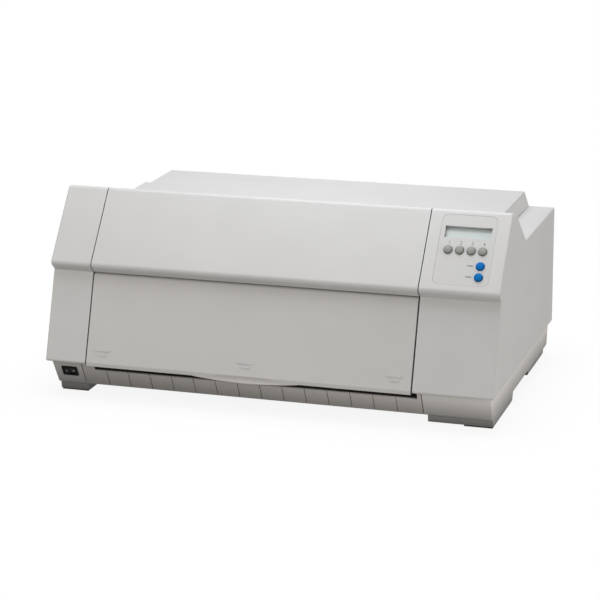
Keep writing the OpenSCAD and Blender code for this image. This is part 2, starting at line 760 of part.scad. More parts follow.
// Front door: leaf with a rolled top edge, a bulged grip and stiffening ribs
door_flange = 6;
door_foot_t = 4.2;
door_foot_rise = 8;
door_foot_r = 1;
grip_scoop = 1.2;
grip_scoop_r = 8;
grip_scoop_half = 52;
grip_scoop_z = seam_h - 1.5;
door_band = 9;
function front_at(z) = [front_y + (z - seam_h) * tan(front_lean), z];
module door_zone() {
    front_strip(door_band, door_tangent.y);
}
module door_flange_shape(depth) {
    intersection() {
        difference() {
            polygon(rounded(housing_outline));
            polygon(rounded(shrink(housing_outline, depth)));
        }
        door_zone();
    }
}
module door_foot(low, r) {
    t = door_foot_t / cos(front_lean);
    bend = seam_h + front_rounding / tan(front_lean);
    high = seam_h + door_foot_rise;
    polygon(rounded([[-body_d / 2, low, r], [-body_d / 2 + t, low, r], [front_at(high).x + t / 2, high, small_r, 0],
        [front_at(high).x, high, small_r, 0], [front_at(bend).x, bend, small_r, 0]]));
}
module grip_bulge() {
    sweep_r = (grip_w * grip_w / 4 + grip_drop * grip_drop) / (2 * grip_drop);
    low = seam_h - door_low;
    intersection() {
        along_x(open_mid - grip_w / 2, open_mid + grip_w / 2) door_foot(low - 2 * grip_drop, small_r);
        along_y(-far, far) translate([open_mid, low - grip_drop + sweep_r]) circle(sweep_r, $fn = 240);
    }
}
// Spindle that hollows the grip, its axis in front of the door
module grip_hollow() {
    steps = 12;
    side = [for (i = [-steps:2:steps]) let (u = i / steps) [grip_scoop_r - grip_scoop * u * u, grip_scoop_half * u]];
    ahead = grip_scoop_r - grip_scoop;
    translate([open_mid, -body_d / 2 - ahead, grip_scoop_z])
        rotate([0, 90, 0]) rotate_extrude()
            polygon(concat([[0, -grip_scoop_half]], side, [[0, grip_scoop_half]]));
}
module front_door() color(abs_light) difference() {
    union() {
        along_x(cover_l, cover_r) {
            intersection() {
                skin(shell_t);
                door_zone();
            }
            translate(door_axis) arc_band(roll_r, shell_t, 20, 181 - front_lean);
            door_foot(seam_h - door_low, door_foot_r);
        }
        for (x = [cover_l, cover_r - shell_t]) along_x(x, x + shell_t) door_flange_shape(door_flange);
        for (i = [1:4]) {
            x = cover_l + (cover_r - cover_l) * i / 5;
            along_x(x - 1, x + 1) door_flange_shape(door_flange);
        }
        for (x = [cover_l, cover_r - knuckle_t]) rod_x(door_axis, roll_r, x, x + knuckle_t);
        grip_bulge();
    }
    rod_x(door_axis, pin_r + run_gap, cover_l - 1, cover_r + 1);
    grip_hollow();
}

// Rear cover: low tapered lid with a hinge roll in front and the paper exit behind
rear_cover_t = 2.4;
exit_half = hatch_half - 12;
exit_h = 8.5;
rear_cover_top = deck_h + rear_cover_h;
module rear_cover_side(d) {
    low = deck_h + lift_gap - (d > 0 ? 2 * bite : 0);
    translate(rear_axis) circle(rear_roll_r - d);
    translate([rear_axis.x, low]) square([rear_y - 1 - rear_axis.x - d, rear_cover_top - d - low]);
}
module rear_cover_block(d) {
    w = rear_cover_w / 2;
    intersection() {
        along_x(-far, far) rear_cover_side(d);
        along_y(-far, far) polygon([[-w - rear_cover_taper + d, deck_h - 2 * bite], [w + rear_cover_taper - d, deck_h - 2 * bite],
            [w - d, rear_cover_top], [-w + d, rear_cover_top]]);
    }
}
module rear_cover() color(abs_light) difference() {
    union() {
        difference() {
            rear_cover_block(0);
            union() {
                rear_cover_block(rear_cover_t);
                box([-hatch_half, rear_axis.x - roll_r, deck_h - 1], [hatch_half, rear_axis.x + 1, rear_axis.y]);
            }
        }
        for (side = [-1, 1]) mirror([side < 0 ? 1 : 0, 0, 0])
            rod_x(rear_axis, rear_roll_r, ear_x - knuckle_t - 1, ear_x - 1);
        for (i = [-3:3]) box([i * 60 - 1, rear_axis.x + roll_r, rear_cover_top - 6],
            [i * 60 + 1, rear_y - 4, rear_cover_top - 1]);
    }
    for (side = [-1, 1]) mirror([side < 0 ? 1 : 0, 0, 0]) {
        box([ear_x - 0.8, rear_axis.x - roll_r - 2, 0], [ear_x + ear_t + 0.8, rear_axis.x + roll_r + 1, rear_axis.y + ear_r + 0.7]);
    }
    rod_x(rear_axis, pin_r + run_gap, -ear_x - ear_t, ear_x + ear_t);
    box([-exit_half, rear_y - 2 * roll_r, 0], [exit_half, far, deck_h + exit_h]);
}
module hinge_pins() color(bright_steel) {
    for (c = [cover_axis, door_axis]) {
        rod_x(c, pin_r, open_l - shell_t, cover_l + knuckle_t - 0.5);
        rod_x(c, pin_r, cover_r - knuckle_t + 0.5, open_r + shell_t);
    }
    rod_x(rear_axis, pin_r, -ear_x - ear_t, -ear_x + knuckle_t);
    rod_x(rear_axis, pin_r, ear_x - knuckle_t, ear_x + ear_t);
}

// Operator panel
well_wall = 1;
display_t = 2.4;
module panel_plate() color(abs_grey) on_visor(panel_x, panel_mid) difference() {
    union() {
        translate([0, 0, -panel_recess]) linear_extrude(panel_t)
            rounded_rect(panel_w - 0.4, panel_l - 0.4, panel_corner);
        translate([0, window_v - panel_mid, -panel_recess - well_depth])
            linear_extrude(well_depth + bite / 2) square([window_w + 2 * well_wall, window_h + 2 * well_wall], center = true);
    }
    translate([0, window_v - panel_mid, -well_depth * 3])
        linear_extrude(far) square([window_w, window_h], center = true);
    for (b = button_places) translate([b.x - panel_x, b.y - panel_mid, -far / 2])
        cylinder(r = button_r + button_clear, h = far);
}
button_places = [for (i = [0:3]) [row_x + i * button_pitch, row_v],
    [row_x + 3 * button_pitch, blue_upper_v], [row_x + 3 * button_pitch, blue_lower_v]];
module display_window() color([0.8, 0.86, 0.84, 0.35]) on_visor(window_x, window_v)
    translate([0, 0, -panel_recess - well_depth]) linear_extrude(1) square([window_w, window_h], center = true);
module display_module() on_visor(window_x, window_v) {
    z1 = -panel_recess - well_depth;
    color("#B9C4B4") translate([0, 0, z1 - display_t]) linear_extrude(display_t)
        square([window_w + 2 * well_wall + 2, window_h + 2 * well_wall + 4], center = true);
    color(board_green) translate([0, 0, z1 - display_t - board_t]) linear_extrude(board_t)
        square([window_w + 8, window_h + 12], center = true);
    for (sx = [-1, 1]) color(zinc) translate([sx * (window_w / 2 + 2.3), 0, -board_depth])
        cylinder(r = 1.4, h = board_depth + z1 - display_t - board_t + bite);
}
module panel_board() on_visor(panel_x, panel_mid) {
    color(board_green) translate([0, 0, -board_depth - board_t]) linear_extrude(board_t)
        square([panel_w + 2 * board_margin, panel_l - board_margin], center = true);
    for (b = button_places) translate([b.x - panel_x, b.y - panel_mid, -board_depth])
        color(near_black) translate([0, 0, 1.8]) cube([6, 6, 3.6], center = true);
}
module panel_button(i) {
    b = button_places[i];
    color(i < 4 ? key_grey : key_blue) on_visor(b.x, b.y) {
        top = -panel_recess + panel_t + button_out;
        rotate_extrude() polygon([[0, -board_depth + 3.6 + button_travel + 0.1], [2, -board_depth + 3.6 + button_travel + 0.1],
            [2, -panel_recess - button_flange - 0.15], [button_r + 0.9, -panel_recess - button_flange - 0.15],
            [button_r + 0.9, -panel_recess - 0.15], [button_r, -panel_recess - 0.15], [button_r, top - 0.8],
            [button_r - 0.25, top - 0.3], [button_r - 0.8, top], [0, top]]);
    }
}

// Rocker switch in the base front
module switch_frame() color(near_black) on_base_front(switch_x, switch_v) difference() {
    union() {
        linear_extrude(1.2) rounded_rect(switch_w, switch_h, 1);
        translate([0, 0, -12]) linear_extrude(12 + bite / 2)
            square([switch_body_w - 0.4, switch_body_h - 0.4], center = true);
    }
    translate([0, 0, -7]) linear_extrude(far) square([rocker_w + 0.6, rocker_h + 0.6], center = true);
    translate([0, 0, rocker_pivot]) rotate([90, 0, 0]) cylinder(r = rocker_pin_r + run_gap, h = rocker_h + 4, center = true);
}
rocker_w = switch_w - 6.6;
rocker_h = switch_h - 6;
rocker_pivot = -2;
rocker_pin_r = 1.2;
rocker_tilt = 7;
module power_rocker() color(near_black) on_base_front(switch_x, switch_v) {
    translate([0, 0, rocker_pivot]) rotate([0, rocker_tilt, 0]) {
        rotate([90, 0, 0]) translate([0, 0, -rocker_h / 2]) linear_extrude(rocker_h)
            polygon([[-rocker_w / 2, -1], [rocker_w / 2, -1], [rocker_w / 2, 3], [rocker_w / 4, 2.6], [0, 2],
                [-rocker_w / 4, 2.6], [-rocker_w / 2, 3]]);
        rotate([90, 0, 0]) cylinder(r = rocker_pin_r, h = rocker_h + 2.4, center = true);
    }
}

// Side frames: steel plates with bush seats, feet and the carriage drive brackets
cassette_y0 = ribbon_y - 44 - cassette_d;
cassette_z0 = platen_z + 19;
peg_r = 3;
peg_c = [cassette_y0 + cassette_d / 2, cassette_z0 + 6];
bush_r = [platen_shaft_r, pressure_shaft_r, journal_r];
bush_c = [platen_c, pressure_c, drive_c];
foot_flange = 12;
slot_fit = 0.1;
module frame_plate() {
    foot_front = max(guide_c.x + 3, base_front_at(floor_z).x + guide_flange + 2);
    difference() {
        polygon([
            [foot_front, floor_z], [guide_c.x - 10, guide_c.y - 14], [guide_c.x - 10, guide_c.y + 12],
            [drive_c.x - 14, drive_c.y + 42], [cassette_y0 - 3, frame_top_z], [frame_step_y, frame_top_z],
            [frame_step_y, frame_rear_z], [frame_rear_y, frame_rear_z], [frame_rear_y, floor_z]]);
        for (i = [0:2]) translate(bush_c[i]) circle(bush_r[i] + bush_wall);
        translate(guide_c) circle(guide_r_mm);
        translate(carriage_c) circle(shaft_r);
        translate(peg_c) circle(peg_r + slot_fit);
        translate([peg_c.x - peg_r - slot_fit, peg_c.y]) square([2 * (peg_r + slot_fit), far]);
        translate([10, floor_z + 24]) rounded_rect_at(36, 60, 8);
    }
}
module rounded_rect_at(w, h, r) {
    translate([w / 2, h / 2]) rounded_rect(w, h, r);
}
module frame_foot(x0, x1) {
    box([x0, -110, floor_z], [x1, -50, floor_z + frame_t]);
    box([x0, 0, floor_z], [x1, frame_rear_y, floor_z + frame_t]);
}
motor_shaft_r = 2.5;
module left_side_frame() color(zinc) difference() {
    union() {
        along_x(frame_l, inner_l) frame_plate();
        frame_foot(inner_l - bite, inner_l + foot_flange);
        box([drive_pulley_x - motor_r - 2, belt_y - motor_r - 2, bracket_z],
            [frame_l + bite, belt_y + motor_r + 2, bracket_z + frame_t]);
    }
    box([frame_l - 1, belt_y - pulley_r - 4, bracket_z + frame_t], [inner_l + 1, belt_y + pulley_r + 4, belt_z + 7]);
    translate([drive_pulley_x, belt_y, bracket_z - 1]) cylinder(r = 6, h = frame_t + 2);
}
module right_side_frame() color(zinc) difference() {
    union() {
        along_x(inner_r, frame_r) frame_plate();
        frame_foot(inner_r - foot_flange, inner_r + bite);
        box([idler_pulley_x - 12, belt_y - 10, bracket_z], [inner_r + bite, belt_y + 10, bracket_z + frame_t]);
        translate([idler_pulley_x, belt_y, bracket_z]) cylinder(r = motor_shaft_r, h = belt_z + 9 - bracket_z);
        for (c = [upper_c, lower_c]) rod_x(c, stud_r, frame_r - bite, gear_end + 1);
    }
    rod_x(pinion_c, 6, inner_r - 1, frame_r + 1);
}
module shaft_bushes() color(acetal) for (i = [0:2], side = [0, 1]) {
    x0 = side == 0 ? frame_l : inner_r;
    out = side == 0 ? frame_l - bush_flange : frame_r;
    difference() {
        union() {
            rod_x(bush_c[i], bush_r[i] + bush_wall, x0, x0 + frame_t);
            rod_x(bush_c[i], bush_r[i] + bush_wall + 1.5, out, out + bush_flange);
        }
        rod_x(bush_c[i], bush_r[i] + run_gap, -far, far);
    }
}

// Platen, pressure rollers and their gear
platen_x0 = inner_l + platen_end_gap;
platen_x1 = inner_r - platen_end_gap;
module platen_shaft() color(bright_steel) rod_x(platen_c, platen_shaft_r, frame_l - shaft_out, gear_end + 1);
module platen_roller() color(rubber_black) difference() {
    rod_x(platen_c, platen_r, platen_x0, platen_x1);
    rod_x(platen_c, platen_shaft_r, -far, far);
}
module gear(c, teeth, phase, bore, holes) {
    difference() {
        along_x(gear_x, gear_end) translate(c) difference() {
            polygon(gear_points(teeth, phase));
            circle(bore);
            if (holes > 0) for (i = [0:holes - 1]) {
                rp = gear_m * teeth / 2;
                rotate(i * 360 / holes) translate([(bore + rp) / 2, 0]) circle(rp * 0.2);
            }
        }
        difference() {
            rod_x(c, gear_m * teeth / 2 - 3 * gear_m, gear_end - 1.5, gear_end + 1);
            rod_x(c, bore + 3, gear_end - 2, gear_end + 2);
        }
    }
}
module platen_gear() color(acetal) gear(platen_c, platen_teeth, platen_phase, platen_shaft_r, 5);
module idler_gear_upper() color(acetal) gear(upper_c, idler_teeth, upper_phase, stud_r + run_gap, 6);
module idler_gear_lower() color(acetal) gear(lower_c, idler_teeth, lower_phase, stud_r + run_gap, 6);
module tractor_gear() color(acetal) gear(drive_c, tractor_teeth, tractor_phase, journal_r, 0);
module motor_pinion() {
    color("#C9A34E") along_x(gear_x, gear_end) translate(pinion_c) polygon(gear_points(pinion_teeth, pinion_phase));
    color(bright_steel) rod_x(pinion_c, motor_shaft_r, frame_r + 0.3, gear_end + 1.5);
}
module feed_motor() {
    color(near_black) rod_x(pinion_c, motor_r, inner_r - motor_l, inner_r - 3);
    color(zinc) {
        rod_x(pinion_c, motor_r, inner_r - 3, inner_r);
        rod_x(pinion_c, 5.5, inner_r, frame_r);
    }
}
pressure_count = 6;
pressure_w = 34;
pressure_step = (platen_x1 - platen_x0) / pressure_count;
module pressure_shaft() color(bright_steel)
    rod_x(pressure_c, pressure_shaft_r, frame_l - shaft_out, frame_r + shaft_out);
module pressure_rollers() color(rubber_black) for (i = [0:pressure_count - 1]) {
    x = platen_x0 + (i + 0.5) * pressure_step;
    difference() {
        rod_x(pressure_c, pressure_r, x - pressure_w / 2, x + pressure_w / 2);
        rod_x(pressure_c, pressure_shaft_r, -far, far);
    }
}

// Paper tractors on a square drive shaft and a round guide shaft
plate_t = 3;
hub_r = 7.2;
wheel_w = 8;
pin_r0 = 1.9;
pin_r1 = 1.1;
pin_out = 2.6;
lid_lift = 1.6;
lid_t = 2;
barrel_r = 2.2;
lid_pin_r = 1.6;
pin_slot = 3.2;
lid_y0 = 4;
lid_y1 = tractor_span - 6;
lid_hinge_x = tractor_w / 2 - 3;
lid_h = wheel_r + lid_lift + barrel_r - 0.4;
lid_fit = 0.3;
module on_tractor(x) {
    translate([x, guide_c.x, guide_c.y]) rotate([paper_angle, 0, 0]) children();
}
module tractor_drive_shaft() color(bright_steel) {
    translate([0, drive_c.x, drive_c.y]) rotate([paper_angle, 0, 0])
        box([inner_l + 3, -square_side / 2, -square_side / 2], [inner_r - 3, square_side / 2, square_side / 2]);
    rod_x(drive_c, journal_r, frame_l - shaft_out, gear_end + 1);
}
module tractor_guide_shaft() color(bright_steel)
    rod_x(guide_c, guide_r_mm, frame_l - shaft_out, frame_r + shaft_out);
module tractor_side_shape() {
    circle(guide_r_mm + 3.5);
    translate([tractor_span, 0]) circle(hub_r + 2.5);
    translate([0, -guide_r_mm - 3.5]) square([tractor_span, wheel_r + guide_r_mm + 2]);
}
module tractor_body(x, side) color("#3A3C40") on_tractor(x) difference() {
    union() {
        for (s = [-1, 1]) translate([s * (tractor_w - plate_t) / 2, 0, 0])
            along_x(-plate_t / 2, plate_t / 2) tractor_side_shape();
        along_x(-tractor_w / 2, tractor_w / 2) translate([-6, wheel_r - 3.5])
            square([tractor_span + 14, 2.5]);
        rod_x([0, 0], guide_r_mm + 3.5, -tractor_w / 2, tractor_w / 2);
        for (y = [lid_y0 - 3, lid_y1])
            box([side * lid_hinge_x - 3, y, wheel_r - 2], [side * lid_hinge_x + 3, y + 3, lid_h + barrel_r + 0.6]);
    }
    rod_x([0, 0], guide_r_mm + run_gap, -far, far);
    rod_x([tractor_span, 0], hub_r + run_gap, -far, far);
    box([-wheel_w / 2 - 0.6, tractor_span - wheel_r - 5, -far], [wheel_w / 2 + 0.6, far, far]);
    translate([side * lid_hinge_x, 0, lid_h]) rotate([-90, 0, 0])
        cylinder(r = lid_pin_r + run_gap, h = far, center = true);
}
module pin_wheel(x) color(acetal) on_tractor(x) translate([0, tractor_span, 0]) difference() {
    union() {
        rod_x([0, 0], wheel_r, -wheel_w / 2, wheel_w / 2);
        rod_x([0, 0], hub_r, -tractor_w / 2, tractor_w / 2);
        for (i = [0:pin_count - 1]) rotate([i * 360 / pin_count, 0, 0]) translate([0, 0, wheel_r - 2])
            rotate_extrude() polygon([[0, 0], [pin_r0, 0], [pin_r0, 2 + pin_out * 0.6], [pin_r1, 2 + pin_out], [0, 2 + pin_out]]);
    }
    cube([far, square_side + 0.2, square_side + 0.2], center = true);
}
module tractor_lid(x, side) color("#3A3C40") on_tractor(x) difference() {
    union() {
        box([side > 0 ? -tractor_w / 2 : -lid_hinge_x, lid_y0 + lid_fit, wheel_r + lid_lift],
            [side > 0 ? lid_hinge_x : tractor_w / 2, lid_y1 - lid_fit, wheel_r + lid_lift + lid_t]);
        translate([side * lid_hinge_x, (lid_y0 + lid_y1) / 2, lid_h]) rotate([90, 0, 0]) {
            cylinder(r = barrel_r, h = lid_y1 - lid_y0 - 2 * lid_fit, center = true);
            cylinder(r = lid_pin_r, h = lid_y1 - lid_y0 + 5, center = true);
        }
    }
    box([-pin_slot, lid_y0 + 4, 0], [pin_slot, far, wheel_r + lid_lift + lid_t + 1]);
}
lever_t = 3;
lever_l = 17;
lever_gap = 0.4;
module lock_lever(x, side) color("#2F6FA8") translate([x + side * (tractor_w / 2 + lever_gap + lever_t / 2), guide_c.x, guide_c.y])
    along_x(-lever_t / 2, lever_t / 2) difference() {
        union() {
            circle(guide_r_mm + 2.5);
            translate([-2.5, -lever_l]) square([5, lever_l]);
            translate([0, -lever_l]) circle(3);
        }
        circle(guide_r_mm + run_gap);
    }

// Sheet under the paper line, curved up behind the ribbon, and the rail that carries the
// front of the carriage
sheet_t = 1.2;
sheet_past_wheel = 15;
sheet_gap = 1.2;
sheet_lip = 7;
motor_clear = 1;
function bend_arc(r) = [for (i = [0:8]) let (a = (paper_angle - 90) * (1 - i / 8)) bend_c + r * [cos(a), sin(a)]];
module paper_guide_plate() color(zinc) {
    start = drive_c + wheel_r * above + sheet_past_wheel * along;
    top = bend_r + sheet_gap;
    under = top + sheet_t;
    rise = [0, platen_z - 11 - bend_c.y];
    difference() {
        along_x(inner_l, inner_r) polygon(concat(
            [start - sheet_gap * above], bend_arc(top), [bend_c + [top, 0] + rise, bend_c + [under, 0] + rise],
            [for (i = [8:-1:0]) bend_arc(under)[i]],
            [start + sheet_t * along - (sheet_gap + sheet_t) * above,
                start + sheet_t * along - (sheet_gap + sheet_lip) * above, start - (sheet_gap + sheet_lip) * above]));
        rod_x(pinion_c, motor_r + motor_clear, inner_r - motor_l - motor_clear, far);
    }
}
rail_top = belt_z + 7.7;
rail_t = 1.5;
rail_y = belt_y - 18;
tray_z = belt_z - 16.5;
tray_w = 16;
module carriage_rail() color(zinc) along_x(inner_l, inner_r) polygon([
    [rail_y, rail_top], [rail_y + 9, rail_top], [rail_y + 9, rail_top - rail_t],
    [rail_y + rail_t, rail_top - rail_t], [rail_y + rail_t, tray_z],
    [rail_y - tray_w, tray_z], [rail_y - tray_w, tray_z + 4], [rail_y - tray_w + rail_t, tray_z + 4],
    [rail_y - tray_w + rail_t, tray_z + rail_t], [rail_y, tray_z + rail_t]]);
module carriage_shaft() color(bright_steel) rod_x(carriage_c, shaft_r, frame_l - shaft_out, frame_r + shaft_out);

// Carriage: bored block, belt clamp, and an arm over the belt onto the rail
block_h = 28;
block_front = belt_y + 14;
block_back = carriage_c.x + 16;
carriage_top = carriage_c.y + 14;
arm_z = rail_top + 0.3;
arm_t = 3.5;
clamp_gap = 0.3;
strand_y = belt_y + pulley_r;
cable_w = 12;
cable_t = 0.8;
loop_r = 4;
leg_z = tray_z + rail_t + cable_t + 2 * loop_r + clamp_gap;
module carriage() color("#3A3C40") translate([carriage_x, 0, 0]) difference() {
    w = carriage_w / 2;
    union() {
        along_x(-w, w) polygon([[block_front, carriage_c.y - 10], [block_front + 6, carriage_top - block_h],
            [block_back - 4, carriage_top - block_h], [block_back, carriage_c.y - 8],
            [block_back, carriage_top], [block_front, carriage_top]]);
        box([-10, rail_y - cable_w - 2, arm_z], [10, block_front + 1, arm_z + arm_t]);
        box([-8, rail_y - cable_w - 2, leg_z], [8, rail_y - 1, arm_z + 1]);
        box([-7, strand_y + belt_t + clamp_gap, belt_z - 5], [7, block_front + 8, belt_z + belt_half + 2]);
        box([-7, strand_y - clamp_gap - 1.4, belt_z + belt_half + clamp_gap], [7, block_front, belt_z + belt_half + 2]);
        box([-7, strand_y - clamp_gap - 1.4, belt_z - 1], [7, strand_y - clamp_gap, belt_z + belt_half + 1]);
    }
    rod_x(carriage_c, shaft_r + run_gap, -far, far);
    box([-w + 5, carriage_c.x - 8, carriage_top - block_h - 1], [w - 5, carriage_c.x + 8, carriage_c.y - 2]);
}
head_w = 38;
head_h = 25;
nose_w = 14;
fin_count = 7;
module print_head() {
    y0 = block_front + 3;
    y1 = block_back - 3;
    tip = ribbon_y - ribbon_t / 2 - 0.4;
    translate([carriage_x, 0, 0]) {
        color(cast_alloy) difference() {
            box([-head_w / 2, y0, carriage_top], [head_w / 2, y1, carriage_top + head_h]);
            pitch = (y1 - y0) / fin_count;
            for (i = [0:fin_count - 1]) box([-far, y0 + (i + 0.5) * pitch, carriage_top + 9],
                [far, y0 + (i + 0.5) * pitch + 1.8, far]);
        }
        color(near_black) along_x(-nose_w / 2, nose_w / 2) polygon([[y1 - bite, platen_z - 9], [y1 - bite, platen_z + 11],
            [tip - 6, platen_z + 6], [tip, platen_z + 4], [tip, platen_z - 4], [tip - 6, platen_z - 6]]);
    }
}
module head_cable() color("#D8D5CC") {
    z0 = tray_z + rail_t;
    x1 = carriage_x - 24;
    y1 = rail_y - 1.5;
    box([x1, y1 - cable_w, z0], [carriage_x + 34, y1, z0 + cable_t]);
    translate([x1, y1, z0 + cable_t / 2 + loop_r]) rotate([90, 0, 0]) linear_extrude(cable_w) difference() {
        circle(loop_r + cable_t / 2);
        circle(loop_r - cable_t / 2);
        translate([0, -far]) square([far, 2 * far]);
    }
    box([x1, y1 - cable_w, z0 + 2 * loop_r], [carriage_x + 6, y1, z0 + 2 * loop_r + cable_t]);
}
module carriage_motor() translate([drive_pulley_x, belt_y, bracket_z]) {
    color(near_black) translate([0, 0, -motor_l]) cylinder(r = motor_r, h = motor_l - 3);
    color(zinc) translate([0, 0, -3]) cylinder(r = motor_r, h = 3);
    color(zinc) cylinder(r = 6, h = frame_t + 0.5);
}
module pulley(x, z0) color(acetal) translate([x, belt_y, 0]) difference() {
    rotate_extrude() polygon([[motor_shaft_r + run_gap, z0], [pulley_r + 2, z0], [pulley_r + 2, belt_z - belt_half - 0.3],
        [pulley_r - 0.3, belt_z - belt_half - 0.3], [pulley_r - 0.3, belt_z + belt_half + 0.3],
        [pulley_r + 2, belt_z + belt_half + 0.3], [pulley_r + 2, belt_z + belt_half + 2],
        [motor_shaft_r + run_gap, belt_z + belt_half + 2]]);
}
module drive_pulley() {
    pulley(drive_pulley_x, bracket_z + frame_t + 0.8);
    color(bright_steel) translate([drive_pulley_x, belt_y, bracket_z + frame_t + 0.6])
        cylinder(r = motor_shaft_r + run_gap, h = belt_z + belt_half + 3 - bracket_z - frame_t - 0.6);
}
module idler_pulley() pulley(idler_pulley_x, bracket_z + frame_t + 0.4);
module belt_loop(r) {
    for (x = [drive_pulley_x, idler_pulley_x]) translate([x, belt_y]) circle(r);
    translate([drive_pulley_x, belt_y - r]) square([idler_pulley_x - drive_pulley_x, 2 * r]);
}
module carriage_belt() color(rubber_black) translate([0, 0, belt_z - belt_half]) linear_extrude(belt_h) difference() {
    belt_loop(pulley_r + belt_t);
    belt_loop(pulley_r);
}

// Ribbon cassette across the machine, with the ribbon drawn between its two arms
cassette_x0 = inner_l + 2.5;
cassette_x1 = inner_r - 1.2;
arm_l1 = cassette_x0 + cassette_arm_w;
arm_r0 = carriage_x + carriage_travel + carriage_w / 2 + 1;
knob_x = cassette_x0 + 22;
knob_r = 10;
knob_shaft_r = 4;
arm_tip = ribbon_y - 1.5;
module ribbon_path(t) {
    y = ribbon_y;
    for (e = [[arm_l1 + 3, arm_l1 - 4], [arm_r0 - 3, arm_r0 + 4]])
        polygon([[e[0], y - t / 2], [e[0], y + t / 2], [e[1], y - 7 + t / 2], [e[1], y - 7 - t / 2]]);
    translate([arm_l1 + 3, y - t / 2]) square([arm_r0 - arm_l1 - 6, t]);
}
module cassette_arm() {
    y0 = cassette_y0;
    polygon([[y0 + 24, cassette_z0 + 1], [y0 + 24, cassette_z0 - 4], [y0 + 48, platen_z - 10], [arm_tip - 4, platen_z - 10],
        [arm_tip, platen_z - 8], [arm_tip, platen_z + 8], [arm_tip - 4, platen_z + 10], [y0 + cassette_d + 4, platen_z + 12],
        [y0 + cassette_d, cassette_z0 + 1]]);
}
module ribbon_cassette() color(near_black) difference() {
    union() {
        along_x(cassette_x0, cassette_x1) translate([cassette_y0 + cassette_d / 2, cassette_z0 + cassette_h / 2])
            rounded_rect(cassette_d, cassette_h, 2);
        along_x(cassette_x0, arm_l1) cassette_arm();
        along_x(arm_r0, cassette_x1) cassette_arm();
        rod_x(peg_c, peg_r, frame_l, frame_r);
        for (i = [1:11]) {
            x = cassette_x0 + (cassette_x1 - cassette_x0) * i / 12;
            box([x - 0.8, cassette_y0 + 4, cassette_z0 + cassette_h - 1], [x + 0.8, cassette_y0 + cassette_d - 4, cassette_z0 + cassette_h + 1]);
        }
    }
    translate([0, 0, platen_z - ribbon_h / 2 - 0.5]) linear_extrude(ribbon_h + 1) ribbon_path(1.6);
    translate([knob_x, peg_c.x, cassette_z0 + cassette_h - 8]) cylinder(r = knob_shaft_r + run_gap, h = far);
}
module ribbon() color(near_black) translate([0, 0, platen_z - ribbon_h / 2]) linear_extrude(ribbon_h) ribbon_path(ribbon_t);
module ribbon_knob() color("#2F6FA8") translate([knob_x, peg_c.x, cassette_z0 + cassette_h]) {
    translate([0, 0, -7.5]) cylinder(r = knob_shaft_r, h = 9.5);
    translate([0, 0, 1.5]) difference() {
        cylinder(r = knob_r, h = 8);
        for (i = [0:11]) rotate(i * 30) translate([knob_r + 0.6, 0, -1]) cylinder(r = 1.6, h = 10);
    }
}

// Electronics on the base floor
module power_supply() {
    color(zinc) difference() {
        box([supply_x, supply_y, floor_z], [supply_x + supply_w, supply_y + supply_l, floor_z + 14]);
        box([supply_x + frame_t, supply_y - 1, floor_z + frame_t],
            [supply_x + supply_w - frame_t, supply_y + supply_l + 1, far]);
    }
    color(board_green) box([supply_x + frame_t, supply_y + 2, floor_z + 8],
        [supply_x + supply_w - frame_t, supply_y + supply_l - 2, floor_z + 8 + board_t]);
    z = floor_z + 8 + board_t;
    color("#C8A24A") box([supply_x + 70, supply_y + 24, z], [supply_x + 110, supply_y + 60, z + 32]);
    color(near_black) for (i = [0:1]) translate([supply_x + 28, supply_y + 28 + i * 32, z]) cylinder(r = 12, h = 34);
    color("#8C8F92") box([supply_x + 48, supply_y + 10, z], [supply_x + 52, supply_y + supply_l - 10, z + 36]);
}
module main_board() {
    top = board_z + board_t;
    x0 = board_x - board_w / 2;
    y0 = board_back - board_l;
    color(board_green) difference() {
        box([x0, y0, board_z], [x0 + board_w, board_back, top]);
        for (p = board_posts) translate([p.x, p.y, 0]) cylinder(r = 1.7, h = far);
    }
    color("#5A5F66") {
        box([port_x - port_w / 2, base_rear_y - 16, top], [port_x + port_w / 2, base_rear_y, top + port_h]);
        box([serial_x - serial_w / 2, base_rear_y - 14, top], [serial_x + serial_w / 2, base_rear_y, top + serial_h]);
    }
    color(near_black) {
        for (c = [[40, 40, 28], [40, 84, 22], [96, 36, 20], [96, 78, 20]])
            box([x0 + c[0], y0 + c[1], top], [x0 + c[0] + c[2], y0 + c[1] + c[2], top + 3]);
        for (i = [0:3]) translate([x0 + 160, y0 + 22 + i * 22, top]) cylinder(r = 6, h = 18);
    }
}
module power_inlet() color(near_black) difference() {
    union() {
        box([inlet_x - inlet_w / 2 + 0.2, base_rear_y - 15, inlet_z + 0.2],
            [inlet_x + inlet_w / 2 - 0.2, base_rear_y, inlet_z + inlet_h - 0.2]);
        box([inlet_x - inlet_w / 2 - 2, base_rear_y - 15, inlet_z - 2],
            [inlet_x + inlet_w / 2 + 2, base_rear_y - shell_t, inlet_z + inlet_h + 2]);
    }
    translate([inlet_x, base_rear_y + 1, inlet_z + inlet_h / 2]) rotate([90, 0, 0]) linear_extrude(13)
        polygon([[-10, -7], [10, -7], [10, 3], [6, 7], [-6, 7], [-10, 3]]);
}
module housing_screws() color(zinc) for (p = screw_places) translate([p.x, p.y, 0]) {
    translate([0, 0, screw_seat_z - screw_head_h]) difference() {
        cylinder(r = screw_head_r, h = screw_head_h);
        for (a = [0, 90]) rotate(a) cube([4.4, 0.9, 2.4], center = true);
    }
    translate([0, 0, screw_seat_z - bite]) cylinder(r = screw_r, h = seam_h + shell_t + bite - 0.2 - screw_seat_z);
}

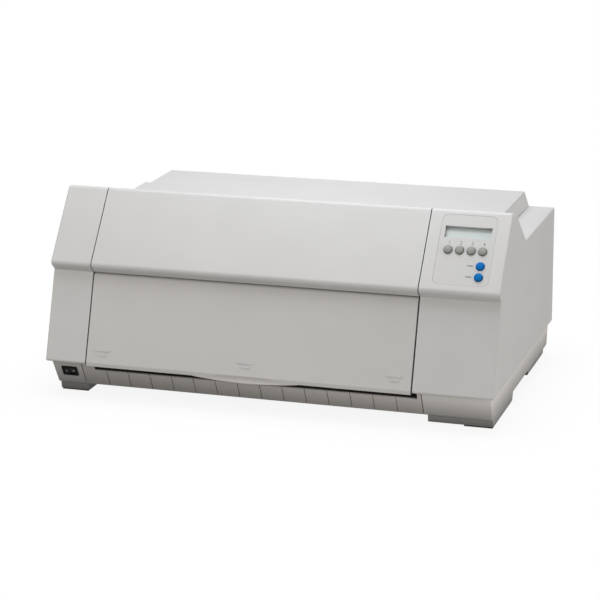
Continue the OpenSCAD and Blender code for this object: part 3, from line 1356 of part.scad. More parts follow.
base_housing();
foot_pads();
front_paper_guide();
upper_housing();
top_cover();
front_door();
rear_cover();
hinge_pins();
panel_plate();
display_window();
display_module();
panel_board();
panel_button(0);  // button_1
panel_button(1);  // button_2
panel_button(2);  // button_3
panel_button(3);  // button_4
panel_button(4);  // blue_button_upper
panel_button(5);  // blue_button_lower
switch_frame();
power_rocker();
left_side_frame();
right_side_frame();
shaft_bushes();
platen_roller();
platen_shaft();
platen_gear();
pressure_rollers();
pressure_shaft();
idler_gear_upper();
idler_gear_lower();
tractor_gear();
motor_pinion();
feed_motor();
tractor_drive_shaft();
tractor_guide_shaft();
tractor_body(left_x, -1);  // left_tractor
tractor_body(right_x, 1);  // right_tractor
pin_wheel(left_x);  // left_pin_wheel
pin_wheel(right_x);  // right_pin_wheel
tractor_lid(left_x, -1);  // left_tractor_lid
tractor_lid(right_x, 1);  // right_tractor_lid
lock_lever(left_x, -1);  // left_lock_lever
lock_lever(right_x, 1);  // right_lock_lever
paper_guide_plate();
carriage_shaft();
carriage_rail();
carriage();
print_head();
head_cable();
carriage_motor();
drive_pulley();
idler_pulley();
carriage_belt();
ribbon_cassette();
ribbon();
ribbon_knob();
power_supply();
main_board();
power_inlet();
housing_screws();
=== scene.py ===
import math

import bmesh
import bpy
from mathutils import Matrix, Vector


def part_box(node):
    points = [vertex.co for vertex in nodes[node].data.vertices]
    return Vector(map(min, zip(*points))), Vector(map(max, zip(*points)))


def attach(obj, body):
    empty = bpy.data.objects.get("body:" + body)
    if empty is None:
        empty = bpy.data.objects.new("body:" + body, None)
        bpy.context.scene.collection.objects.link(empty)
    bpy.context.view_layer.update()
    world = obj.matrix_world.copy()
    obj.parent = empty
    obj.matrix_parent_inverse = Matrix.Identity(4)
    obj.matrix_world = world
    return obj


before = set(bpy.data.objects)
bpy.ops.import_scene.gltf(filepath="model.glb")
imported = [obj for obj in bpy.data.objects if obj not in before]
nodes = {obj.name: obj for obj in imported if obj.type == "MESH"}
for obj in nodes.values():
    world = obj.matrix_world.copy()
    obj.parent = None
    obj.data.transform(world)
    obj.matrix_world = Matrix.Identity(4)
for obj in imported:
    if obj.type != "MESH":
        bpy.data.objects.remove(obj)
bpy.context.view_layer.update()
scene = bpy.context.scene
scene.view_settings.view_transform = "Standard"


# Camera: a long lens a little to the right of the printer and above it, so that both the
# sloping visor and the key panel face the lens and the right wall shows at the edge.
# TURN, TILT and ROLL are in radians, and STAND is where the lens is
LENS_MM = 130.13
SENSOR_MM = 36
TURN = 0.311341
TILT = 0.276974
ROLL = -0.009908
STAND = Vector((0.8358, -2.62033, 0.88415))

forward = Vector((-math.sin(TURN) * math.cos(TILT), math.cos(TURN) * math.cos(TILT), -math.sin(TILT)))
level = Vector((math.cos(TURN), math.sin(TURN), 0))
upright = level.cross(forward)
right = math.cos(ROLL) * level + math.sin(ROLL) * upright
up = math.cos(ROLL) * upright - math.sin(ROLL) * level
camera_data = bpy.data.cameras.new("camera")
camera_data.lens = LENS_MM
camera_data.sensor_width = SENSOR_MM
camera = bpy.data.objects.new("camera", camera_data)
scene.collection.objects.link(camera)
camera.matrix_world = Matrix.Translation(STAND) @ Matrix((right, up, -forward)).transposed().to_4x4()
scene.camera = camera


# Floor: a wide sheet of white studio paper. It takes a faint soft shadow close to the feet
# and is clean white elsewhere. It sends only a grey light back up, and more of it on the right.
FLOOR_HALF = 9.0
FLOOR_DROP = 0.0002
FOOTPRINT_HALF = (0.25, 0.14, 0)
SHADOW_FROM = 0.02
SHADOW_TO = 0.16
SHADOW_SHARE = 0.11
BOUNCE_REACH = 0.4
BOUNCE_LEFT = "#6A6866"
BOUNCE_RIGHT = "#B4B2AF"


def linear(code):
    """An sRGB hex colour as linear red, green, blue and alpha."""
    parts = [int(code[i : i + 2], 16) / 255 for i in (1, 3, 5)]
    return [c / 12.92 if c <= 0.04045 else ((c + 0.055) / 1.055) ** 2.4 for c in parts] + [1]


def add_node(tree, kind, links=None, values=None, **settings):
    """Adds a shader node, sets its properties and input values, and links its inputs."""
    node = tree.nodes.new("ShaderNode" + kind)
    for name, value in settings.items():
        setattr(node, name, value)
    for socket, value in (values or {}).items():
        node.inputs[socket].default_value = value
    for socket, source in (links or {}).items():
        tree.links.new(source, node.inputs[socket])
    return node


def finished(name, skin, *facts, **more):
    """A material whose surface is what skin builds in its node tree."""
    material = bpy.data.materials.new(name)
    material.use_nodes = True
    tree = material.node_tree
    tree.nodes.clear()
    surface = skin(tree, *facts, **more)
    add_node(tree, "OutputMaterial", {"Surface": surface.outputs[0]})
    return material


def paper_skin(tree):
    """White paper that keeps a part of the shadow near the footprint.

    A Mix node has its two colours at sockets 6 and 7 and the mixed one at output 2.
    """
    lit = add_node(tree, "BsdfDiffuse", values={"Color": linear("#FFFFFF")})
    white = add_node(tree, "Emission", values={"Color": linear("#FFFFFF"), "Strength": 1.0})
    place = add_node(tree, "TexCoord")
    side = add_node(tree, "SeparateXYZ", {0: place.outputs["Object"]})
    across = add_node(
        tree,
        "MapRange",
        {"Value": side.outputs["X"]},
        {"From Min": -BOUNCE_REACH, "From Max": BOUNCE_REACH},
    )
    card = add_node(
        tree,
        "Mix",
        {0: across.outputs["Result"]},
        {6: linear(BOUNCE_LEFT), 7: linear(BOUNCE_RIGHT)},
        data_type="RGBA",
    )
    dim = add_node(tree, "BsdfDiffuse", {"Color": card.outputs[2]})
    # the distance from a rectangle under the printer, so that the fade follows the footprint
    spread = add_node(tree, "VectorMath", {0: place.outputs["Object"]}, operation="ABSOLUTE")
    past = add_node(
        tree, "VectorMath", {0: spread.outputs["Vector"]}, {1: FOOTPRINT_HALF}, operation="SUBTRACT"
    )
    outside = add_node(tree, "VectorMath", {0: past.outputs["Vector"]}, {1: (0, 0, 0)}, operation="MAXIMUM")
    reach = add_node(tree, "VectorMath", {0: outside.outputs["Vector"]}, operation="LENGTH")
    fade = add_node(
        tree,
        "MapRange",
        {"Value": reach.outputs["Value"]},
        {"From Min": SHADOW_FROM, "From Max": SHADOW_TO, "To Min": 1 - SHADOW_SHARE, "To Max": 1.0},
        interpolation_type="SMOOTHSTEP",
    )
    seen = add_node(tree, "MixShader", {0: fade.outputs["Result"], 1: lit.outputs[0], 2: white.outputs[0]})
    ray = add_node(tree, "LightPath")
    direct = add_node(
        tree,
        "Math",
        {0: ray.outputs["Is Camera Ray"], 1: ray.outputs["Is Glossy Ray"]},
        operation="MAXIMUM",
    )
    plain = add_node(
        tree, "Math", {0: direct.outputs[0], 1: ray.outputs["Is Transmission Ray"]}, operation="MAXIMUM"
    )
    return add_node(tree, "MixShader", {0: plain.outputs[0], 1: dim.outputs[0], 2: seen.outputs[0]})


floor_mesh = bpy.data.meshes.new("studio_floor")
corners = [(x * FLOOR_HALF, y * FLOOR_HALF, 0) for x, y in ((-1, -1), (1, -1), (1, 1), (-1, 1))]
floor_mesh.from_pydata(corners, [], [(0, 1, 2, 3)])
floor = bpy.data.objects.new("studio_floor", floor_mesh)
floor.location.z = -FLOOR_DROP
scene.collection.objects.link(floor)
floor_mesh.materials.append(finished("white_studio_paper", paper_skin))


# Lights: one soft box close overhead and three farther off, at the front left, the rear left
# and the right, in a dim even room. Upward faces come out palest and the base darkest.
ROOM_LEVEL = 0.40


def soft_box(name, place, aim, size, power, colour):
    """A square area lamp at place that faces aim."""
    lamp = bpy.data.lights.new(name, "AREA")
    lamp.shape = "SQUARE"
    lamp.size = size
    lamp.energy = power
    lamp.color = linear(colour)[:3]
    box = bpy.data.objects.new(name, lamp)
    box.location = place
    box.rotation_euler = (Vector(aim) - Vector(place)).to_track_quat("-Z", "Y").to_euler()
    scene.collection.objects.link(box)


def room_skin(tree):
    """A dim grey room that the camera sees as plain white."""
    grey = add_node(tree, "Background", values={"Color": linear("#F6F5F4"), "Strength": ROOM_LEVEL})
    white = add_node(tree, "Background", values={"Color": linear("#FFFFFF"), "Strength": 1.0})
    ray = add_node(tree, "LightPath")
    direct = add_node(
        tree,
        "Math",
        {0: ray.outputs["Is Camera Ray"], 1: ray.outputs["Is Transmission Ray"]},
        operation="MAXIMUM",
    )
    return add_node(tree, "MixShader", {0: direct.outputs[0], 1: grey.outputs[0], 2: white.outputs[0]})


soft_box("overhead_box", (0.04, 0.0, 0.95), aim=(0.02, 0, 0.1), size=0.9, power=6.9, colour="#F7FAFF")
soft_box("front_box", (-1.3, -1.9, 0.55), aim=(0, 0, 0.1), size=1.2, power=13.0, colour="#FFFBF7")
soft_box("rear_box", (-0.9, 2.4, 0.15), aim=(0, 0, 0.12), size=0.9, power=9.0, colour="#FFFDFB")
soft_box("right_box", (2.2, -0.6, 0.35), aim=(0.1, 0, 0.12), size=1.0, power=12.3, colour="#FFFBF7")
room = bpy.data.worlds.new("room")
room.use_nodes = True
scene.world = room
tree = room.node_tree
tree.nodes.clear()
add_node(tree, "OutputWorld", {"Surface": room_skin(tree).outputs[0]})


# Base and grooved paper guide: warm grey ABS, injection moulded in spark-eroded moulds, so it
# has a fine even grain and a dry sheen. Shade is painted on at the foot, the left end, the slot
# and the guide's ends. The guide drops into the mouth of the base; its grooves let the paper slide.
GRAIN_MM = 0.9
CLOUD_MM, CLOUD_EDGES = 71.4, (0.3, 0.7)
# painted shade in gaps, joints and under overhangs, from an occlusion test of this reach
CREASE_SHADE_REACH = 0.025
JOINT_SHUT, JOINT_OPEN, JOINT_SHADE = 0.05, 0.5, 0.04
# painted shade, darker towards the floor up to this height
FLOOR_SHADE_TOP = 0.038
# painted shade, darker towards the left end and lighter towards the right
SIDE_SHADE_REACH, SIDE_SHADE_LEFT, SIDE_SHADE_RIGHT = 0.28, 0.78, 1.18
# painted shade inside the paper slot: how soon it is full and how dark
SLOT_SHADE_EDGE, SLOT_SHADE = 0.0008, 0.05
# painted shade along the butted ends: where it starts, where it is full, how dark
BUTT_FROM, BUTT_FULL, BUTT_SHADE = 0.0011, 0.0008, 0.12


def mottled(tree, place, code, patch_mm, detail, dark, pale, **pattern):
    """A colour in soft patches about patch_mm wide, from dark to pale times its strength."""
    patches = add_node(
        tree,
        "TexNoise",
        {"Vector": place.outputs["Object"]},
        {"Scale": 1000 / patch_mm, "Detail": detail, **pattern},
    )
    tint = add_node(tree, "ValToRGB", {"Fac": patches.outputs["Fac"]})
    for stop, share in zip(tint.color_ramp.elements, (dark, pale)):
        stop.color = [min(1, c * share) for c in linear(code)[:3]] + [1]
    return tint


def abs_skin(
    tree, code, roughness=0.52, grain=0.05, gloss=0.5, joints=0.0, foot_shade=1.0, ends=None, inward=None
):
    """Moulded plastic with a fine spark-eroded grain, faint clouding and, where asked, painted shade.

    joints is how far, in metres, the painted shade in gaps, joints and under overhangs reaches.
    foot_shade is how much colour the painted shade leaves at floor level.
    ends are the two x where the piece butts on its neighbours, and painted shade darkens the joint.
    inward is a direction, and the distance along it past which shade is painted dark.
    """
    place = add_node(tree, "TexCoord")
    # the real grain is about 0.2 mm, drawn coarser so that it shows close up
    pits = add_node(
        tree,
        "TexNoise",
        {"Vector": place.outputs["Object"]},
        {"Scale": 1000 / GRAIN_MM, "Detail": 2.0, "Roughness": 0.6},
    )
    tint = mottled(tree, place, code, CLOUD_MM, detail=3.0, dark=0.98, pale=1.015)
    for stop, position in zip(tint.color_ramp.elements, CLOUD_EDGES):
        stop.position = position
    painted_shade = None
    if joints:
        # painted shade: darker where the occlusion test finds gaps, joints and overhangs close by
        open_share = add_node(tree, "AmbientOcclusion", values={"Distance": joints}, samples=4)
        painted_shade = add_node(
            tree,
            "MapRange",
            {"Value": open_share.outputs["AO"]},
            {"From Min": JOINT_SHUT, "From Max": JOINT_OPEN, "To Min": JOINT_SHADE, "To Max": 1.0},
        )
    apart = add_node(tree, "SeparateXYZ", {0: place.outputs["Object"]})
    if foot_shade < 1:
        # painted shade: darker towards the floor
        floor_shade = add_node(
            tree,
            "MapRange",
            {"Value": apart.outputs["Z"]},
            {"From Min": 0.0, "From Max": FLOOR_SHADE_TOP, "To Min": foot_shade, "To Max": 1.0},
        )
        # painted shade: the left end is darker than the right one
        side_shade = add_node(
            tree,
            "MapRange",
            {"Value": apart.outputs["X"]},
            {"From Min": -SIDE_SHADE_REACH, "From Max": SIDE_SHADE_REACH, "To Min": SIDE_SHADE_LEFT, "To Max": SIDE_SHADE_RIGHT},
        )
        shaded = add_node(tree, "Math", {0: side_shade.outputs[0], 1: floor_shade.outputs[0]}, operation="MULTIPLY")
        painted_shade = add_node(tree, "Math", {0: painted_shade.outputs[0], 1: shaded.outputs[0]}, operation="MULTIPLY")
    if inward:
        # painted shade: dark past a depth into the slot, where no light reaches
        depth = add_node(
            tree, "VectorMath", {0: place.outputs["Object"]}, {1: inward[0]}, operation="DOT_PRODUCT"
        )
        slot_shade = add_node(
            tree,
            "MapRange",
            {"Value": depth.outputs["Value"]},
            {"From Min": inward[1], "From Max": inward[1] + SLOT_SHADE_EDGE, "To Min": 1.0, "To Max": SLOT_SHADE},
        )
        painted_shade = add_node(tree, "Math", {0: painted_shade.outputs[0], 1: slot_shade.outputs[0]}, operation="MULTIPLY")
    if ends:
        # painted shade: a dark line at the butted ends, for the shade in the joints
        off = add_node(tree, "Math", {0: apart.outputs["X"]}, {1: sum(ends) / 2}, operation="SUBTRACT")
        reach = add_node(tree, "Math", {0: off.outputs[0]}, operation="ABSOLUTE")
        half = (ends[1] - ends[0]) / 2
        end_shade = add_node(
            tree,
            "MapRange",
            {"Value": reach.outputs[0]},
            {
                "From Min": half - BUTT_FROM,
                "From Max": half - BUTT_FULL,
                "To Min": 1.0,
                "To Max": BUTT_SHADE,
            },
        )
        painted_shade = add_node(tree, "Math", {0: painted_shade.outputs[0], 1: end_shade.outputs[0]}, operation="MULTIPLY")
    colour = tint.outputs["Color"]
    if painted_shade is not None:
        shown = add_node(tree, "VectorMath", {0: colour, "Scale": painted_shade.outputs[0]}, operation="SCALE")
        colour = shown.outputs[0]
    relief = add_node(
        tree, "Bump", {"Height": pits.outputs["Fac"]}, {"Strength": grain, "Distance": 0.0004}
    )
    return add_node(
        tree,
        "BsdfPrincipled",
        {"Base Color": colour, "Normal": relief.outputs["Normal"]},
        {"Roughness": roughness, "IOR": 1.52, "Specular IOR Level": gloss},
    )


def dress(material, *names):
    """Gives CAD nodes their material."""
    for name in names:
        slots = nodes[name].data.materials
        slots.clear()
        slots.append(material)


# how much colour the painted shade leaves at the floor
FOOT_SHADE = 0.22
base_abs = finished(
    "base_abs_warm_grey", abs_skin, "#DAD7D3", roughness=0.58, joints=CREASE_SHADE_REACH, foot_shade=FOOT_SHADE
)
dress(base_abs, "base_housing")
BASE_LEAN = math.radians(26.4)
SEAM_Z = 0.047
BASE_TOP_FRONT = Vector((0, -0.171755, SEAM_Z))
# how far past the guide's front the painted shade in the slot begins
GUIDE_SKIN_DEPTH = 0.0012
guide_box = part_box("front_paper_guide")
into_slot = Vector((0, math.cos(BASE_LEAN), math.sin(BASE_LEAN)))
guide_abs = finished(
    "guide_abs_warm_grey",
    abs_skin,
    "#CDC8C3",
    roughness=0.5,
    joints=CREASE_SHADE_REACH,
    foot_shade=FOOT_SHADE,
    ends=(guide_box[0][0], guide_box[1][0]),
    inward=(into_slot, into_slot.dot(BASE_TOP_FRONT) + GUIDE_SKIN_DEPTH),
)
dress(guide_abs, "front_paper_guide")


# Foot pads: four pads of black moulded rubber, pressed into the feet. The rubber is dull, with
# a fine grit and a faint bloom.
def rubber_skin(tree, code, roughness=0.82, grit_mm=0.8):
    """Dull rubber with a ground grit and faint bloom."""
    place = add_node(tree, "TexCoord")
    grit = add_node(
        tree, "TexNoise", {"Vector": place.outputs["Object"]}, {"Scale": 1000 / grit_mm, "Detail": 3.0}
    )
    bloom = mottled(tree, place, code, patch_mm=33.3, detail=2.0, dark=0.85, pale=1.2)
    relief = add_node(tree, "Bump", {"Height": grit.outputs["Fac"]}, {"Strength": 0.15, "Distance": 0.0003})
    return add_node(
        tree,
        "BsdfPrincipled",
        {"Base Color": bloom.outputs["Color"], "Normal": relief.outputs["Normal"]},
        {"Roughness": roughness, "IOR": 1.5},
    )


dress(finished("pad_rubber_black", rubber_skin, "#2B2B2B"), "foot_pads")


# Power switch: a bezel of black glass-filled nylon with a smoother rocker in it. The bar and
# the ring on the rocker are printed in white.
SWITCH_X = -0.268
SWITCH_DOWN = 0.017
down_base = (SWITCH_X, SWITCH_DOWN * math.sin(BASE_LEAN), -SWITCH_DOWN * math.cos(BASE_LEAN))
SWITCH_FACE = BASE_TOP_FRONT + Vector(down_base)
ROCKER_PIVOT = -0.002
ROCKER_TILT = math.radians(7)
ROCKER_SLOPE = math.radians(6.3)
ROCKER_RISE = 0.00273
MARK_OFF = 0.0047
MARK_UP = 0.00005
BAR_SIZE = (0.0007, 0.0028, 0.0003)
RING_OUTER = 0.0013
RING_INNER = 0.0008


def ink_skin(tree, code, roughness=0.5):
    """Screen-printed ink with small thin places."""
    place = add_node(tree, "TexCoord")
    thin = mottled(tree, place, code, patch_mm=0.556, detail=2.0, dark=0.9, pale=1.0)
    return add_node(
        tree, "BsdfPrincipled", {"Base Color": thin.outputs["Color"]}, {"Roughness": roughness, "IOR": 1.5}
    )


def piece(name, mesh, material, body, place):
    """Adds an object of one material that rides on a body."""
    thing = bpy.data.objects.new(name, mesh)
    scene.collection.objects.link(thing)
    thing.matrix_world = place
    mesh.materials.append(material)
    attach(thing, body)


def closed_mesh(name, shape):
    """The mesh of a closed shape, with its faces turned outwards."""
    bmesh.ops.recalc_face_normals(shape, faces=shape.faces)
    mesh = bpy.data.meshes.new(name)
    shape.to_mesh(mesh)
    shape.free()
    return mesh


def outline_mesh(name, loops, height, bevel=0.0):
    """Flat outlines drawn in a plane, filled and raised to a height."""
    shape = bmesh.new()
    for loop in loops:
        bottom = [shape.verts.new((x, y, 0)) for x, y in loop]
        top = [shape.verts.new((x, y, height)) for x, y in loop]
        count = len(loop)
        shape.faces.new(top)
        shape.faces.new(bottom[::-1])
        for i in range(count):
            shape.faces.new((bottom[i], bottom[(i + 1) % count], top[(i + 1) % count], top[i]))
        if bevel:
            rim = [edge for edge in shape.edges if all(end in top for end in edge.verts)]
            bmesh.ops.bevel(shape, geom=rim, offset=bevel, segments=2, affect="EDGES")
    return closed_mesh(name, shape)


def round_loop(radius, steps=28, centre=(0, 0)):
    """Points of a circle."""
    angles = [2 * math.pi * i / steps for i in range(steps)]
    return [(centre[0] + radius * math.cos(turn), centre[1] + radius * math.sin(turn)) for turn in angles]


def soft_rectangle(width, height, radius, centre=(0, 0), steps=5):
    """Points of a rectangle with round corners."""
    points = []
    for quarter, (sx, sy) in enumerate([(1, 1), (-1, 1), (-1, -1), (1, -1)]):
        for i in range(steps + 1):
            angle = math.pi / 2 * (quarter + i / steps)
            x = centre[0] + sx * (width / 2 - radius) + radius * math.cos(angle)
            y = centre[1] + sy * (height / 2 - radius) + radius * math.sin(angle)
            points.append((x, y))
    return points


def ring_mesh(name, outer, inner, height):
    """A flat ring between two loops with the same count of points."""
    shape = bmesh.new()
    count = len(outer)
    rows = [
        [shape.verts.new((x, y, z)) for x, y in loop]
        for loop, z in ((outer, 0), (outer, height), (inner, height), (inner, 0))
    ]
    for here, there in zip(rows, rows[1:] + rows[:1]):
        for i in range(count):
            shape.faces.new((here[i], here[(i + 1) % count], there[(i + 1) % count], there[i]))
    return closed_mesh(name, shape)


def tilted(place, turn):
    """A frame at place, turned about X."""
    return Matrix.Translation(place) @ Matrix.Rotation(turn, 4, "X")


def on_rocker(side):
    """A frame on one half of the rocker, side -1 or 1, whose Z points out of its face."""
    pivot = tilted(SWITCH_FACE, math.pi / 2 + BASE_LEAN) @ Matrix.Translation((0, 0, ROCKER_PIVOT))
    rocker = pivot @ Matrix.Rotation(ROCKER_TILT, 4, "Y")
    face = rocker @ Matrix.Translation((side * MARK_OFF, 0, ROCKER_RISE))
    return face @ Matrix.Rotation(-side * ROCKER_SLOPE, 4, "Y")


dress(
    finished("switch_nylon_black", abs_skin, "#070708", roughness=0.6, grain=0.04, gloss=0.08),
    "switch_frame",
    "power_inlet",
)
dress(
    finished("rocker_nylon_black", abs_skin, "#070708", roughness=0.4, grain=0.0, gloss=0.12),
    "power_rocker",
)
rocker_ink = finished("rocker_ink_white", ink_skin, "#E8E8E6")
bar = outline_mesh("rocker_bar", [soft_rectangle(*BAR_SIZE)], MARK_UP)
piece("rocker_bar", bar, rocker_ink, "power_rocker", on_rocker(-1))
ring = ring_mesh("rocker_ring", round_loop(RING_OUTER), round_loop(RING_INNER), MARK_UP)
piece("rocker_ring", ring, rocker_ink, "power_rocker", on_rocker(1))


# Power inlet: three nickel-plated brass blades stand in the socket in the rear wall. They are
# stamped and plated, so they are bright with a slight change of polish.
REAR_FACE = 0.17875
INLET_MOUTH = Vector((-0.120, REAR_FACE, 0.0313))
BLADE_SIZE = (0.002, 0.004, 0.0004)
BLADE_LONG = 0.0095
BLADE_BEVEL = 0.0003
BLADE_FOOT = -0.0118
BLADES = ((-0.006, -0.002), (0.006, -0.002), (0.0, 0.0025))


def metal_skin(tree, code, roughness, spread_mm=(6, 6, 6), detail=4.0, swing=(0.75, 1.25), relief=0.0):
    """Bare or plated metal. Its polish changes over spread_mm along each axis."""
    place = add_node(tree, "TexCoord")
    scaled = add_node(
        tree,
        "VectorMath",
        {0: place.outputs["Object"]},
        {1: [1000 / spread for spread in spread_mm]},
        operation="MULTIPLY",
    )
    patch = add_node(tree, "TexNoise", {"Vector": scaled.outputs[0]}, {"Scale": 1.0, "Detail": detail})
    polish = add_node(
        tree,
        "MapRange",
        {"Value": patch.outputs["Fac"]},
        {"From Min": 0.3, "From Max": 0.7, "To Min": roughness * swing[0], "To Max": roughness * swing[1]},
    )
    links = {"Roughness": polish.outputs["Result"]}
    if relief:
        bump = add_node(
            tree, "Bump", {"Height": patch.outputs["Fac"]}, {"Strength": relief, "Distance": 0.0001}
        )
        links["Normal"] = bump.outputs["Normal"]
    return add_node(tree, "BsdfPrincipled", links, {"Base Color": linear(code), "Metallic": 1.0})


blade_nickel = finished(
    "blade_brass_nickel_plated", metal_skin, "#C9C6BE", roughness=0.22, detail=3.0, swing=(0.8, 1.25)
)
for number, (x, z) in enumerate(BLADES, 1):
    blade = outline_mesh(f"inlet_blade_{number}", [soft_rectangle(*BLADE_SIZE)], BLADE_LONG, BLADE_BEVEL)
    place = tilted(INLET_MOUTH + Vector((x, BLADE_FOOT, z)), -math.pi / 2)
    piece(blade.name, blade, blade_nickel, "housing", place)


# Power supply and main board: a small open-frame supply on a folded zinc-plated chassis,
# and a green fibreglass board with etched copper tracks under its solder mask. Both stand
# on posts in the base, and each is one node of several parts, so its finish goes by boxes.
TRACK_LANE = 0.00127
TRACK_GAP = 0.0008
TRACK_PATCH_MM = 14.3


def zoned_skin(tree, ground, zones, origin=(0, 0, 0), lean=0.0):
    """Several finishes on one node: the ground finish and another one inside each box.

    A finish is a colour, a metallic value, a roughness and the strength of etched tracks.
    A box is its low and high corner in metres, in a frame at origin that leans about X.
    A Mix node has its two vectors at sockets 4 and 5 and the mixed one at output 1.
    """
    place = add_node(tree, "TexCoord")
    local = add_node(
        tree,
        "Mapping",
        {"Vector": place.outputs["Object"]},
        {"Location": origin, "Rotation": (lean, 0, 0)},
        vector_type="TEXTURE",
    )
    apart = add_node(tree, "SeparateXYZ", {0: local.outputs[0]})
    colour = gloss = None
    for low, high, finish in zones:
        inside = None
        for axis in range(3):
            reach = {1: (low[axis] + high[axis]) / 2, 2: (high[axis] - low[axis]) / 2}
            near = add_node(tree, "Math", {0: apart.outputs[axis]}, reach, operation="COMPARE")
            if inside is not None:
                near = add_node(
                    tree, "Math", {0: near.outputs[0], 1: inside.outputs[0]}, operation="MULTIPLY"
                )
            inside = near
        first = colour is None
        under = {} if first else {6: colour.outputs[2]}
        start = {6: linear(ground[0])} if first else {}
        colour = add_node(
            tree, "Mix", {0: inside.outputs[0], **under}, {7: linear(finish[0]), **start}, data_type="RGBA"
        )
        under = {} if first else {4: gloss.outputs[1]}
        start = {4: ground[1:]} if first else {}
        gloss = add_node(
            tree, "Mix", {0: inside.outputs[0], **under}, {5: finish[1:], **start}, data_type="VECTOR"
        )
    share = add_node(tree, "SeparateXYZ", {0: gloss.outputs[1]})
    # tracks lie on the usual 2.54 mm grid, so a lane is half of that, and they break off in patches
    lane = add_node(tree, "Math", {0: apart.outputs[0]}, {1: TRACK_LANE}, operation="PINGPONG")
    copper = add_node(tree, "Math", {0: lane.outputs[0]}, {1: TRACK_GAP}, operation="GREATER_THAN")
    patch = add_node(
        tree, "TexNoise", {"Vector": local.outputs[0]}, {"Scale": 1000 / TRACK_PATCH_MM, "Detail": 3.0}
    )
    kept = add_node(tree, "Math", {0: patch.outputs["Fac"]}, {1: 0.5}, operation="GREATER_THAN")
    track = add_node(tree, "Math", {0: copper.outputs[0], 1: kept.outputs[0]}, operation="MULTIPLY")
    shown = add_node(tree, "Math", {0: track.outputs[0], 1: share.outputs[2]}, operation="MULTIPLY")
    shade = add_node(
        tree,
        "MapRange",
        {"Value": patch.outputs["Fac"]},
        {"From Min": 0.3, "From Max": 0.7, "To Min": 0.93, "To Max": 1.05},
    )
    lift = add_node(tree, "Math", {0: shown.outputs[0], 1: shade.outputs[0]}, operation="ADD")
    tint = add_node(tree, "VectorMath", {0: colour.outputs[2], "Scale": lift.outputs[0]}, operation="SCALE")
    return add_node(
        tree,
        "BsdfPrincipled",
        {"Base Color": tint.outputs[0], "Metallic": share.outputs[0], "Roughness": share.outputs[1]},
    )


ZINC = ("#B4B7B9", 1.0, 0.36, 0.0)
ALUMINIUM = ("#A9ACAF", 1.0, 0.42, 0.0)
MASKED_BOARD = ("#1F5A36", 0.0, 0.36, 0.5)
MOULDED_BLACK = ("#1C1D1F", 0.0, 0.48, 0.0)
TAPED_COIL = ("#C3A04B", 0.0, 0.55, 0.0)
HEADER_BLUE = ("#23304A", 0.0, 0.4, 0.0)
PORT_STEEL = ("#6A6E74", 1.0, 0.38, 0.0)
CHASSIS = Vector((-0.215, 0.07375, 0.0153))
# its board, the capacitors, the heat sink and the transformer
supply_zones = [
    ((0.0014, 0.0010, 0.0079), (0.1286, 0.0870, 0.0097), MASKED_BOARD),
    ((0.0150, 0.0150, 0.0097), (0.0410, 0.0730, 0.0500), MOULDED_BLACK),
    ((0.0475, 0.0080, 0.0097), (0.0525, 0.0800, 0.0500), ALUMINIUM),
    ((0.0690, 0.0230, 0.0097), (0.1110, 0.0610, 0.0500), TAPED_COIL),
]
dress(finished("supply_on_folded_zinc", zoned_skin, ZINC, supply_zones, origin=CHASSIS), "power_supply")
BOARD_UP = 0.0249
BOARD_CORNER = Vector((-0.050, 0.02175, BOARD_UP))
PART_LOW = 0.0001
CHIP_HIGH = 0.004
BLOCK_HIGH = 0.020
# four square chips by corner and width, then the long header and the blocks behind the ports
chips = [(0.040, 0.040, 0.028), (0.040, 0.084, 0.022), (0.096, 0.036, 0.020), (0.096, 0.078, 0.020)]
board_zones = [((x, y, PART_LOW), (x + wide, y + wide, CHIP_HIGH), MOULDED_BLACK) for x, y, wide in chips]
board_zones += [((0.153, 0.015, PART_LOW), (0.167, 0.095, BLOCK_HIGH), HEADER_BLUE)]
board_zones += [((0.0, 0.138, PART_LOW), (0.190, 0.160, BLOCK_HIGH), PORT_STEEL)]
dress(
    finished("solder_masked_board", zoned_skin, MASKED_BOARD, board_zones, origin=BOARD_CORNER),
    "main_board",
)


# Port shells: the wide parallel port has a bright drawn steel shell round a black contact
# block and two wire latches. The serial port has a D-shaped shell with brass pins and two
# hexagonal standoffs. Both are screwed to the connector blocks on the board.
REAR_TURN = Matrix(((-1, 0, 0), (0, 0, 1), (0, 1, 0))).to_4x4()
SHELL_OUT = 0.0009
BLOCK_OUT = 0.0002
# a D shape: its width at the top and the bottom, its height and its corner
PARALLEL_OUTER = (0.058, 0.054, 0.0115, 0.003)
PARALLEL_INNER = (0.0566, 0.0526, 0.0101, 0.0025)
CONTACT_SIZE = (0.0011, 0.0011, 0.0002)
CONTACT_COUNT, CONTACT_PITCH = 18, 0.00216
CONTACT_ROW, CONTACT_OUT = 0.0022, 0.0004
LATCH_WIRE, LATCH_RISE = 0.0004, 0.0005
LATCH_BENDS = ((0.0300, -0.0035), (0.0318, -0.0040), (0.0318, 0.0040), (0.0300, 0.0035))
SERIAL_OUTER = (0.0185, 0.0166, 0.0085, 0.0022)
SERIAL_INNER = (0.0175, 0.0156, 0.0075, 0.0018)
PIN_PITCH, PIN_ROW = 0.00277, 0.0014
PIN_RADIUS, PIN_STEPS, PIN_OUT = 0.0005, 12, 0.0008
HEXAGON = 6
STANDOFF_X, STANDOFF_RADIUS, STANDOFF_BEVEL = 0.0125, 0.0027, 0.0002


